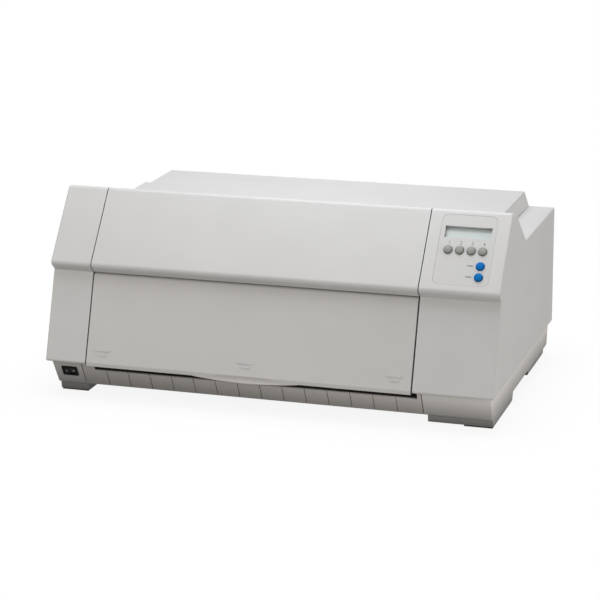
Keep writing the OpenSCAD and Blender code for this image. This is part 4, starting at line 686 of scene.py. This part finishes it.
def trapezium(top, bottom, height, corner, steps=5):
    """A D-shaped outline: wide at the top, narrow at the bottom, with round corners."""
    sides = ((top, 1, 1), (top, -1, 1), (bottom, -1, -1), (bottom, 1, -1))
    corners = [Vector((sx * width / 2, sy * height / 2)) for width, sx, sy in sides]
    points = []
    for number, here in enumerate(corners):
        before, after = corners[number - 1], corners[(number + 1) % 4]
        start = here + (before - here).normalized() * corner
        stop = here + (after - here).normalized() * corner
        for i in range(steps + 1):
            share = i / steps
            point = start.lerp(here, share).lerp(here.lerp(stop, share), share)
            points.append((point.x, point.y))
    return points


def to_rear(x, up):
    """A frame on the rear wall, up from the board, whose Z points out of the printer."""
    return Matrix.Translation((x, REAR_FACE, BOARD_UP + up)) @ REAR_TURN


def plate(name, loops, height, material, body, place, bevel=0.0):
    """Adds a thin piece with the given outlines on a body."""
    piece(name, outline_mesh(name, loops, height, bevel), material, body, place)


shell_steel = finished("port_shell_drawn_steel", metal_skin, "#C4C4C0", roughness=0.26, spread_mm=(4, 4, 4))
contact_black = finished("contact_block_polyester", abs_skin, "#202225", roughness=0.45, grain=0.03)
contact_gold = finished(
    "contact_gold_flashed_brass", metal_skin, "#D9B45C", roughness=0.24, spread_mm=(1, 1, 1)
)
parallel = to_rear(x=0.005, up=0.0075)
serial = to_rear(x=0.090, up=0.006)


def port(name, outer, inner, place):
    """The steel shell of a port and the black block in it."""
    shell = ring_mesh(f"{name}_shell", trapezium(*outer), trapezium(*inner), SHELL_OUT)
    piece(shell.name, shell, shell_steel, "housing", place)
    plate(f"{name}_block", [trapezium(*inner)], BLOCK_OUT, contact_black, "housing", place)


port("parallel", PARALLEL_OUTER, PARALLEL_INNER, parallel)
contacts = [
    soft_rectangle(*CONTACT_SIZE, (CONTACT_PITCH * (i - (CONTACT_COUNT - 1) / 2), y))
    for i in range(CONTACT_COUNT)
    for y in (-CONTACT_ROW, CONTACT_ROW)
]
plate("parallel_contacts", contacts, CONTACT_OUT, contact_gold, "housing", parallel)
for name, side in (("right", -1), ("left", 1)):
    wire = bpy.data.curves.new(f"parallel_latch_{name}", "CURVE")
    wire.dimensions = "3D"
    wire.bevel_depth = LATCH_WIRE
    wire.bevel_resolution = 3
    path = wire.splines.new("POLY")
    path.points.add(len(LATCH_BENDS) - 1)
    for point, (x, y) in zip(path.points, LATCH_BENDS):
        point.co = (side * x, y, LATCH_RISE, 1)
    piece(wire.name, wire, shell_steel, "housing", parallel)

port("serial", SERIAL_OUTER, SERIAL_INNER, serial)
# a row of five pins over a row of four
pins = [
    (PIN_PITCH * (i - (count - 1) / 2), y)
    for count, y in ((5, PIN_ROW), (4, -PIN_ROW))
    for i in range(count)
]
pin_loops = [round_loop(PIN_RADIUS, PIN_STEPS, at) for at in pins]
plate("serial_pins", pin_loops, PIN_OUT, contact_gold, "housing", serial)
standoffs = [round_loop(STANDOFF_RADIUS, HEXAGON, (side * STANDOFF_X, 0)) for side in (-1, 1)]
plate("serial_standoffs", standoffs, SHELL_OUT, shell_steel, "housing", serial, STANDOFF_BEVEL)


# Side frames, paper guide plate, rail and screws: mild steel sheet, pressed and then
# electroplated with zinc. It has a cool even grey with soft rolling lines and no sparkle.
zinc_sheet = finished(
    "sheet_steel_zinc_plated", metal_skin, "#B7BABD", roughness=0.38, spread_mm=(9, 2.5, 2.5), relief=0.15
)
dress(zinc_sheet, "left_side_frame", "right_side_frame", "paper_guide_plate", "carriage_rail")
dress(
    finished("screw_steel_zinc_plated", metal_skin, "#BCBDBB", roughness=0.32, spread_mm=(1.5, 1.5, 1.5)),
    "housing_screws",
)


# Shafts and hinge pins: free-cutting steel, centreless ground, which leaves very fine rings
# round each shaft and a bright finish. The rings are drawn about 0.5 mm apart to show.
ground_steel = finished(
    "shaft_steel_ground", metal_skin, "#C9CBCD", roughness=0.2, spread_mm=(0.5, 20, 20), relief=0.1
)
dress(
    ground_steel,
    "platen_shaft",
    "pressure_shaft",
    "tractor_drive_shaft",
    "tractor_guide_shaft",
    "carriage_shaft",
)
dress(ground_steel, "hinge_pins")


# Platen, pressure rollers and carriage belt: ground nitrile rubber on the shafts, matt and
# nearly black, and a toothed neoprene belt.
dress(
    finished("platen_nitrile_ground", rubber_skin, "#26272A", roughness=0.7, grit_mm=0.6), "platen_roller"
)
dress(
    finished("roller_nitrile_ground", rubber_skin, "#303134", roughness=0.72, grit_mm=0.6),
    "pressure_rollers",
)
dress(finished("belt_neoprene", rubber_skin, "#1E1F20", roughness=0.66, grit_mm=0.8), "carriage_belt")


# Bushes, gears and pin wheels: moulded acetal, a dense milky white with a waxy shine that
# lets a little light in. The feed gears are pressed on or turn on studs in the right frame.
def acetal_skin(tree, code, roughness=0.34):
    """Waxy acetal with a faint swirl from the gate."""
    place = add_node(tree, "TexCoord")
    flow = mottled(tree, place, code, patch_mm=4.55, detail=2.0, dark=0.93, pale=1.0, Distortion=1.2)
    return add_node(
        tree,
        "BsdfPrincipled",
        {"Base Color": flow.outputs["Color"]},
        {
            "Roughness": roughness,
            "IOR": 1.48,
            "Subsurface Weight": 0.15,
            "Subsurface Radius": (0.002, 0.002, 0.0016),
            "Subsurface Scale": 0.5,
        },
    )


acetal = finished("acetal_natural_moulded", acetal_skin, "#E6E3DA")
dress(acetal, "shaft_bushes", "platen_gear", "idler_gear_upper", "idler_gear_lower", "tractor_gear")
dress(acetal, "left_pin_wheel", "right_pin_wheel", "idler_pulley")


# Motors, their pinion and pulley: black enamelled cans with a zinc-plated flange. The
# pinion is hobbed brass and the belt pulley is acetal, each pressed on a ground steel shaft.
WIDE = 1.0
STEEL = ("#C9CBCD", 1.0, 0.2, 0.0)
BRASS = ("#C9A24A", 1.0, 0.26, 0.0)
ACETAL = ("#E2DFD6", 0.0, 0.34, 0.0)
ENAMEL = ("#16171A", 0.0, 0.32, 0.0)
# a zone takes in all of a piece along two axes, and ends on the third where the can of the
# motor, the teeth of the pinion or the pulley end
FEED_CAN_END = 0.1855
CARRIAGE_CAN_TOP = 0.1120
PINION_FROM, PINION_TO = 0.1940, 0.2010
PULLEY_TOP = 0.1300
feed_zones = [((-WIDE, -WIDE, -WIDE), (FEED_CAN_END, WIDE, WIDE), ENAMEL)]
dress(finished("feed_motor_enamel_and_zinc", zoned_skin, ZINC, feed_zones), "feed_motor")
carriage_zones = [((-WIDE, -WIDE, -WIDE), (WIDE, WIDE, CARRIAGE_CAN_TOP), ENAMEL)]
dress(finished("carriage_motor_enamel_and_zinc", zoned_skin, ZINC, carriage_zones), "carriage_motor")
pinion_zones = [((PINION_FROM, -WIDE, -WIDE), (PINION_TO, WIDE, WIDE), BRASS)]
dress(finished("pinion_hobbed_brass", zoned_skin, STEEL, pinion_zones), "motor_pinion")
pulley_zones = [((-WIDE, -WIDE, -WIDE), (WIDE, WIDE, PULLEY_TOP), ACETAL)]
dress(finished("pulley_acetal_on_steel", zoned_skin, STEEL, pulley_zones), "drive_pulley")


# Tractors: each body and lid is a glass-filled nylon moulding in dark grey, dull with a
# streaky skin. The lock levers and the ribbon knob are blue nylon for the user's hand.
dress(
    finished("tractor_nylon_glass_filled", abs_skin, "#3B3D41", roughness=0.46, grain=0.08),
    "left_tractor",
    "right_tractor",
    "left_tractor_lid",
    "right_tractor_lid",
)
grip_blue = finished("grip_nylon_blue", abs_skin, "#2B66A0", roughness=0.36, grain=0.03)
dress(grip_blue, "left_lock_lever", "right_lock_lever", "ribbon_knob")


# Carriage and print head: a nylon carriage with a finned head of cast zinc alloy and a
# black nose. A flat film cable of tinned conductors in clear polyester follows the head.
dress(finished("carriage_nylon_glass_filled", abs_skin, "#36383B", roughness=0.45, grain=0.08), "carriage")
CAST = ("#8F9294", 1.0, 0.5, 0.0)
NOSE_FROM = -0.0460
nose_zones = [((-WIDE, NOSE_FROM, -WIDE), (WIDE, WIDE, WIDE), MOULDED_BLACK)]
dress(finished("head_cast_alloy_black_nose", zoned_skin, CAST, nose_zones), "print_head")


def film_cable_skin(tree, film, wire, pitch_mm=1.25):
    """Clear film over tinned conductors that run along X."""
    place = add_node(tree, "TexCoord")
    apart = add_node(tree, "SeparateXYZ", {0: place.outputs["Object"]})
    half = pitch_mm / 2000
    lane = add_node(tree, "Math", {0: apart.outputs["Y"]}, {1: half}, operation="PINGPONG")
    metal = add_node(tree, "Math", {0: lane.outputs[0]}, {1: half / 2}, operation="GREATER_THAN")
    tint = add_node(
        tree, "Mix", {0: metal.outputs[0]}, {6: linear(film), 7: linear(wire)}, data_type="RGBA"
    )
    return add_node(
        tree, "BsdfPrincipled", {"Base Color": tint.outputs[2]}, {"Roughness": 0.28, "IOR": 1.6}
    )


dress(finished("cable_film_tinned_conductors", film_cable_skin, "#DAD6C8", "#B9BCBE"), "head_cable")


# Ribbon and cassette: a black polystyrene cassette with a loop of woven nylon ribbon that
# is soaked in ink. The weave is 0.12 mm in reality and is drawn 0.5 mm so that it shows.
def ribbon_skin(tree, code, thread_mm=0.5):
    """Inked woven ribbon: threads cross and the ink pools in patches."""
    place = add_node(tree, "TexCoord")
    apart = add_node(tree, "SeparateXYZ", {0: place.outputs["Object"]})
    turns = 2000 * math.pi / thread_mm
    threads = []
    for axis in ("X", "Z"):
        run = add_node(tree, "Math", {0: apart.outputs[axis]}, {1: turns}, operation="MULTIPLY")
        threads.append(add_node(tree, "Math", {0: run.outputs[0]}, operation="SINE"))
    weave = add_node(
        tree, "Math", {0: threads[0].outputs[0], 1: threads[1].outputs[0]}, operation="MULTIPLY"
    )
    ink = mottled(tree, place, code, patch_mm=11.1, detail=2.0, dark=0.7, pale=1.4)
    relief = add_node(tree, "Bump", {"Height": weave.outputs[0]}, {"Strength": 0.3, "Distance": 0.0002})
    return add_node(
        tree,
        "BsdfPrincipled",
        {"Base Color": ink.outputs["Color"], "Normal": relief.outputs["Normal"]},
        {"Roughness": 0.55, "Sheen Weight": 0.15},
    )


dress(finished("ribbon_nylon_woven_inked", ribbon_skin, "#1B1A20"), "ribbon")
dress(
    finished("cassette_polystyrene_black", abs_skin, "#1A1B1C", roughness=0.38, grain=0.03),
    "ribbon_cassette",
)


# Upper housing: the main injection moulding in light warm-grey ABS with both end caps in
# one piece. Four screws hold it to the base from below.
# the shell has painted shade in its gaps and under its lip
light_abs = finished("shell_abs_light_grey", abs_skin, "#D3D2D0", roughness=0.5, joints=CREASE_SHADE_REACH)
dress(light_abs, "upper_housing")


# Covers: the top cover, the front door and the rear cover are mouldings of the same kind of
# light ABS, a shade apart. Each turns on short steel pins, and the door and top cover meet
# edge to edge. Shade is painted on the door's rims, wider on the right, where the joint is the wider one.
# how far each end of the painted shade on the door's rims lies past the door
RIM_LEFT = 0.0005
RIM_RIGHT = 0.0001
dress(light_abs, "top_cover")
dress(
    finished("rear_cover_abs_light_grey", abs_skin, "#CECDCB", roughness=0.5, joints=CREASE_SHADE_REACH),
    "rear_cover",
)
door_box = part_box("front_door")
door_shade_ends = (door_box[0][0] - RIM_LEFT, door_box[1][0] + RIM_RIGHT)
dress(
    finished("door_abs_light_grey", abs_skin, "#D2D0CD", roughness=0.52, joints=CREASE_SHADE_REACH, ends=door_shade_ends),
    "front_door",
)


# Door marks: three shallow embossed marks low on the door, a wide bar over a short one,
# show where to lift it. They are moulded with it and stand only a little proud.
DOOR_LEAN = math.radians(19)
DOOR_FOOT_Y = -0.180755
EMBOSS_Z = 0.0635
EMBOSS_HIGH = 0.0007
EMBOSS_BEVEL = 0.0004
DOOR_MARKS = (("left", -0.218), ("middle", -0.0245), ("right", 0.1685))
LONG_BAR = (0.022, 0.0028, 0.0009, (0, 0.0028))
SHORT_BAR = (0.012, 0.0028, 0.0009, (0.001, -0.0028))
emboss_y = DOOR_FOOT_Y + (EMBOSS_Z - SEAM_Z) * math.tan(DOOR_LEAN)
door_bars = [soft_rectangle(*LONG_BAR), soft_rectangle(*SHORT_BAR)]
for name, x in DOOR_MARKS:
    place = tilted((x, emboss_y, EMBOSS_Z), math.pi / 2 - DOOR_LEAN)
    plate(f"door_mark_{name}", door_bars, EMBOSS_HIGH, light_abs, "front_door", place, EMBOSS_BEVEL)


# Operator panel: a light ABS plate let into the right end cap. Four grey keys in a row are
# numbered in pad-printed ink, and two blue keys have a pale ring and a plain bar each.
VISOR_LEAN = math.radians(51.7)
LIP_EDGE = Vector((0, -0.153246, 0.1705))
VISOR_UP = Vector((0, math.cos(VISOR_LEAN), math.sin(VISOR_LEAN)))
VISOR_OUT = Vector((0, -math.sin(VISOR_LEAN), math.cos(VISOR_LEAN)))
PLATE_FACE = -0.0002
# reach of the painted shade in the joint round the panel plate
PLATE_SHADE_REACH = 0.008
KEY_DOME = 0.0009
KEY_RADIUS = 0.0054
# painted shade round the rim of each key: where it starts and how dark
KEY_SHADE_FROM, KEY_RIM_SHADE = 0.72, 0.62
KEY_ROW = [0.2213, 0.2358, 0.2503, 0.2648]
ROW_RISE = 0.0577
BLUE_KEYS = (("upper", 0.0380), ("lower", 0.0233))
DIGIT_RISE, DIGIT_SHIFT = 0.0652, 0.0006
DIGIT_SIZE, DIGIT_NARROW, DIGIT_HALF = 0.0072, 0.7, 0.00003
RING_RADII = (0.0068, 0.0059)
RING_STEPS = 40
LABEL_X = 0.2520
LABEL_SIZE = (0.0075, 0.0011, 0.0004)


def on_panel(x, rise, out=PLATE_FACE):
    """A frame on the panel: x across, rise up the slope, Z square to it."""
    return tilted(Vector((x, 0, 0)) + LIP_EDGE + rise * VISOR_UP + out * VISOR_OUT, VISOR_LEAN)


dress(
    finished("panel_abs_light_grey", abs_skin, "#CFCECC", roughness=0.46, grain=0.03, joints=PLATE_SHADE_REACH),
    "panel_plate",
)


def key_skin(tree, code, middle, roughness, gloss):
    """ABS key with a low dome, painted shade round its rim and the fine grain of wear.

    middle is the point where the key's axis meets the panel.
    """
    place = add_node(tree, "TexCoord")
    local = add_node(
        tree,
        "Mapping",
        {"Vector": place.outputs["Object"]},
        {"Location": middle, "Rotation": (VISOR_LEAN, 0, 0)},
        vector_type="TEXTURE",
    )
    flat = add_node(tree, "VectorMath", {0: local.outputs[0]}, {1: (1, 1, 0)}, operation="MULTIPLY")
    reach = add_node(tree, "VectorMath", {0: flat.outputs[0]}, operation="LENGTH")
    square = add_node(tree, "Math", {0: reach.outputs["Value"]}, {1: 2.0}, operation="POWER")
    curve = -KEY_DOME / KEY_RADIUS**2
    fall = add_node(tree, "Math", {0: square.outputs[0]}, {1: curve}, operation="MULTIPLY")
    dome = add_node(tree, "Bump", {"Height": fall.outputs[0]}, {"Strength": 1.0, "Distance": 1.0})
    pits = add_node(
        tree, "TexNoise", {"Vector": place.outputs["Object"]}, {"Scale": 1000 / GRAIN_MM, "Detail": 2.0}
    )
    relief = add_node(
        tree,
        "Bump",
        {"Height": pits.outputs["Fac"], "Normal": dome.outputs["Normal"]},
        {"Strength": 0.03, "Distance": 0.0004},
    )
    # painted shade: darker towards the rim of the key
    rim_shade = add_node(
        tree,
        "MapRange",
        {"Value": reach.outputs["Value"]},
        {
            "From Min": KEY_SHADE_FROM * KEY_RADIUS,
            "From Max": KEY_RADIUS,
            "To Min": 1.0,
            "To Max": KEY_RIM_SHADE,
        },
        interpolation_type="SMOOTHSTEP",
    )
    shown = add_node(
        tree, "VectorMath", {"Scale": rim_shade.outputs["Result"]}, {0: linear(code)[:3]}, operation="SCALE"
    )
    return add_node(
        tree,
        "BsdfPrincipled",
        {"Base Color": shown.outputs[0], "Normal": relief.outputs["Normal"]},
        {"Roughness": roughness, "IOR": 1.52, "Specular IOR Level": gloss},
    )


for number, x in enumerate(KEY_ROW, 1):
    middle = on_panel(x, ROW_RISE).translation
    key_grey = finished(f"key_abs_grey_{number}", key_skin, "#93938C", middle, roughness=0.42, gloss=0.5)
    dress(key_grey, f"button_{number}")
for name, rise in BLUE_KEYS:
    middle = on_panel(KEY_ROW[-1], rise).translation
    key_blue = finished(f"key_abs_blue_{name}", key_skin, "#0070BA", middle, roughness=0.5, gloss=0.1)
    dress(key_blue, f"blue_button_{name}")
mark_ink = finished("panel_ink_dark_grey", ink_skin, "#5C5C5C")
ring_ink = finished("panel_ink_pale_blue", ink_skin, "#D9DEE8")
for number, x in enumerate(KEY_ROW, 1):
    digit = bpy.data.curves.new(f"panel_digit_{number}", "FONT")
    digit.body = str(number)
    digit.size = DIGIT_SIZE
    digit.align_x = "CENTER"
    digit.extrude = DIGIT_HALF
    place = on_panel(x + DIGIT_SHIFT, DIGIT_RISE) @ Matrix.Diagonal((DIGIT_NARROW, 1, 1, 1))
    piece(digit.name, digit, mark_ink, "housing", place)
for name, rise in BLUE_KEYS:
    outer, inner = (round_loop(radius, RING_STEPS) for radius in RING_RADII)
    ring = ring_mesh(f"blue_key_ring_{name}", outer, inner, MARK_UP)
    piece(ring.name, ring, ring_ink, "housing", on_panel(KEY_ROW[-1], rise))
    label = [soft_rectangle(*LABEL_SIZE)]
    plate(f"blue_key_bar_{name}", label, MARK_UP, mark_ink, "housing", on_panel(LABEL_X, rise))


# Key board, display and window: a green board with black tactile switches, a two-line
# reflective liquid crystal display and a clear cast acrylic window pressed into the well.
PANEL_X = 0.243
KEY_BOARD_RISE = 0.0584
KEY_BOARD_DEEP = 0.014
SWITCH_HALF = 0.0033
SWITCH_HIGH = 0.004
GLASS = ("#B9C2BC", 0.0, 0.25, 0.0)
GLASS_RISE = 0.0822
GLASS_HALF_X, GLASS_HALF_RISE, GLASS_BACK = 0.040, 0.020, -0.0075
DISPLAY_BOARD_BACK, DISPLAY_BOARD_FACE = -0.0091, -0.0070
FILM_SIZE = (0.0585, 0.0150, 0.0004)
FILM_HIGH = 0.0003
FILM_DEEP = -0.0052
FILM_CELL, FILM_GAP = (0.00325, 0.0054), 0.0005
# painted shadow of the well's top and left edges on the film
FILM_SHADOW_EDGE = (-0.0268, 0.0012, 0.0035)
FILM_SHADOW = 0.72
switch_zones = []
for x, rise in [(x, ROW_RISE) for x in KEY_ROW] + [(KEY_ROW[-1], rise) for _, rise in BLUE_KEYS]:
    x, rise = x - PANEL_X, rise - KEY_BOARD_RISE
    low = (x - SWITCH_HALF, rise - SWITCH_HALF, PART_LOW)
    switch_zones.append((low, (x + SWITCH_HALF, rise + SWITCH_HALF, SWITCH_HIGH), MOULDED_BLACK))
place = on_panel(PANEL_X, KEY_BOARD_RISE, -KEY_BOARD_DEEP).translation
key_board = finished("key_board_solder_masked", zoned_skin, MASKED_BOARD, switch_zones, place, VISOR_LEAN)
dress(key_board, "panel_board")
low, high = (-GLASS_HALF_X, -GLASS_HALF_RISE), (GLASS_HALF_X, GLASS_HALF_RISE)
display_zones = [
    ((*low, DISPLAY_BOARD_BACK), (*high, DISPLAY_BOARD_FACE), MASKED_BOARD),
    ((*low, GLASS_BACK), (*high, 0.0), GLASS),
]
place = on_panel(PANEL_X, GLASS_RISE, 0).translation
display_glass = finished("display_glass_on_board", zoned_skin, ZINC, display_zones, place, VISOR_LEAN)
dress(display_glass, "display_module")


def crystal_skin(tree, code, cell, gap, shadow_edge):
    """Reflective display film with faint character cells, 16 across and 2 down.

    shadow_edge is where the painted shadow of the well starts on x and y, and how soft its edge is.
    """
    place = add_node(tree, "TexCoord")
    apart = add_node(tree, "SeparateXYZ", {0: place.outputs["Object"]})
    lines = []
    for axis, pitch in (("X", cell[0]), ("Y", cell[1])):
        # the distance to the nearest cell border is the smaller part of a ping-pong
        near = add_node(tree, "Math", {0: apart.outputs[axis]}, {1: pitch / 2}, operation="PINGPONG")
        lines.append(add_node(tree, "Math", {0: near.outputs[0]}, {1: gap / 2}, operation="GREATER_THAN"))
    block = add_node(tree, "Math", {0: lines[0].outputs[0], 1: lines[1].outputs[0]}, operation="MULTIPLY")
    base = linear(code)
    tint = add_node(
        tree,
        "Mix",
        {0: block.outputs[0]},
        {6: base, 7: [c * 0.93 for c in base[:3]] + [1]},
        data_type="RGBA",
    )
    # painted shadow: the film is darker past its left and top edges
    film_shadow = None
    for axis, edge, side in (("X", shadow_edge[0], -1), ("Y", shadow_edge[1], 1)):
        past = add_node(
            tree,
            "MapRange",
            {"Value": apart.outputs[axis]},
            {"From Min": edge, "From Max": edge + side * shadow_edge[2], "To Min": 1.0, "To Max": FILM_SHADOW},
            interpolation_type="SMOOTHSTEP",
        )
        if film_shadow is not None:
            past = add_node(tree, "Math", {0: past.outputs[0], 1: film_shadow.outputs[0]}, operation="MINIMUM")
        film_shadow = past
    shown = add_node(tree, "VectorMath", {0: tint.outputs[2], "Scale": film_shadow.outputs[0]}, operation="SCALE")
    return add_node(
        tree, "BsdfPrincipled", {"Base Color": shown.outputs[0]}, {"Roughness": 0.3, "IOR": 1.5}
    )


crystal = finished("display_film_reflective", crystal_skin, "#D7E0DE", FILM_CELL, FILM_GAP, FILM_SHADOW_EDGE)
place = on_panel(PANEL_X, GLASS_RISE, FILM_DEEP)
plate("display_film", [soft_rectangle(*FILM_SIZE)], FILM_HIGH, crystal, "housing", place)


def window_skin(tree, streak_mm=(8.33, 1.11, 1.11)):
    """Clear acrylic with the fine haze that wiping leaves, in streaks along X."""
    place = add_node(tree, "TexCoord")
    wiped = add_node(
        tree,
        "VectorMath",
        {0: place.outputs["Object"]},
        {1: [1000 / size for size in streak_mm]},
        operation="MULTIPLY",
    )
    haze = add_node(tree, "TexNoise", {"Vector": wiped.outputs[0]}, {"Scale": 1.0, "Detail": 3.0})
    rough = add_node(tree, "MapRange", {"Value": haze.outputs["Fac"]}, {"To Min": 0.01, "To Max": 0.06})
    return add_node(
        tree,
        "BsdfPrincipled",
        {"Roughness": rough.outputs["Result"]},
        {"Base Color": linear("#F4F8F7"), "IOR": 1.49, "Alpha": 0.08},
    )


dress(finished("window_acrylic_clear", window_skin), "display_window")
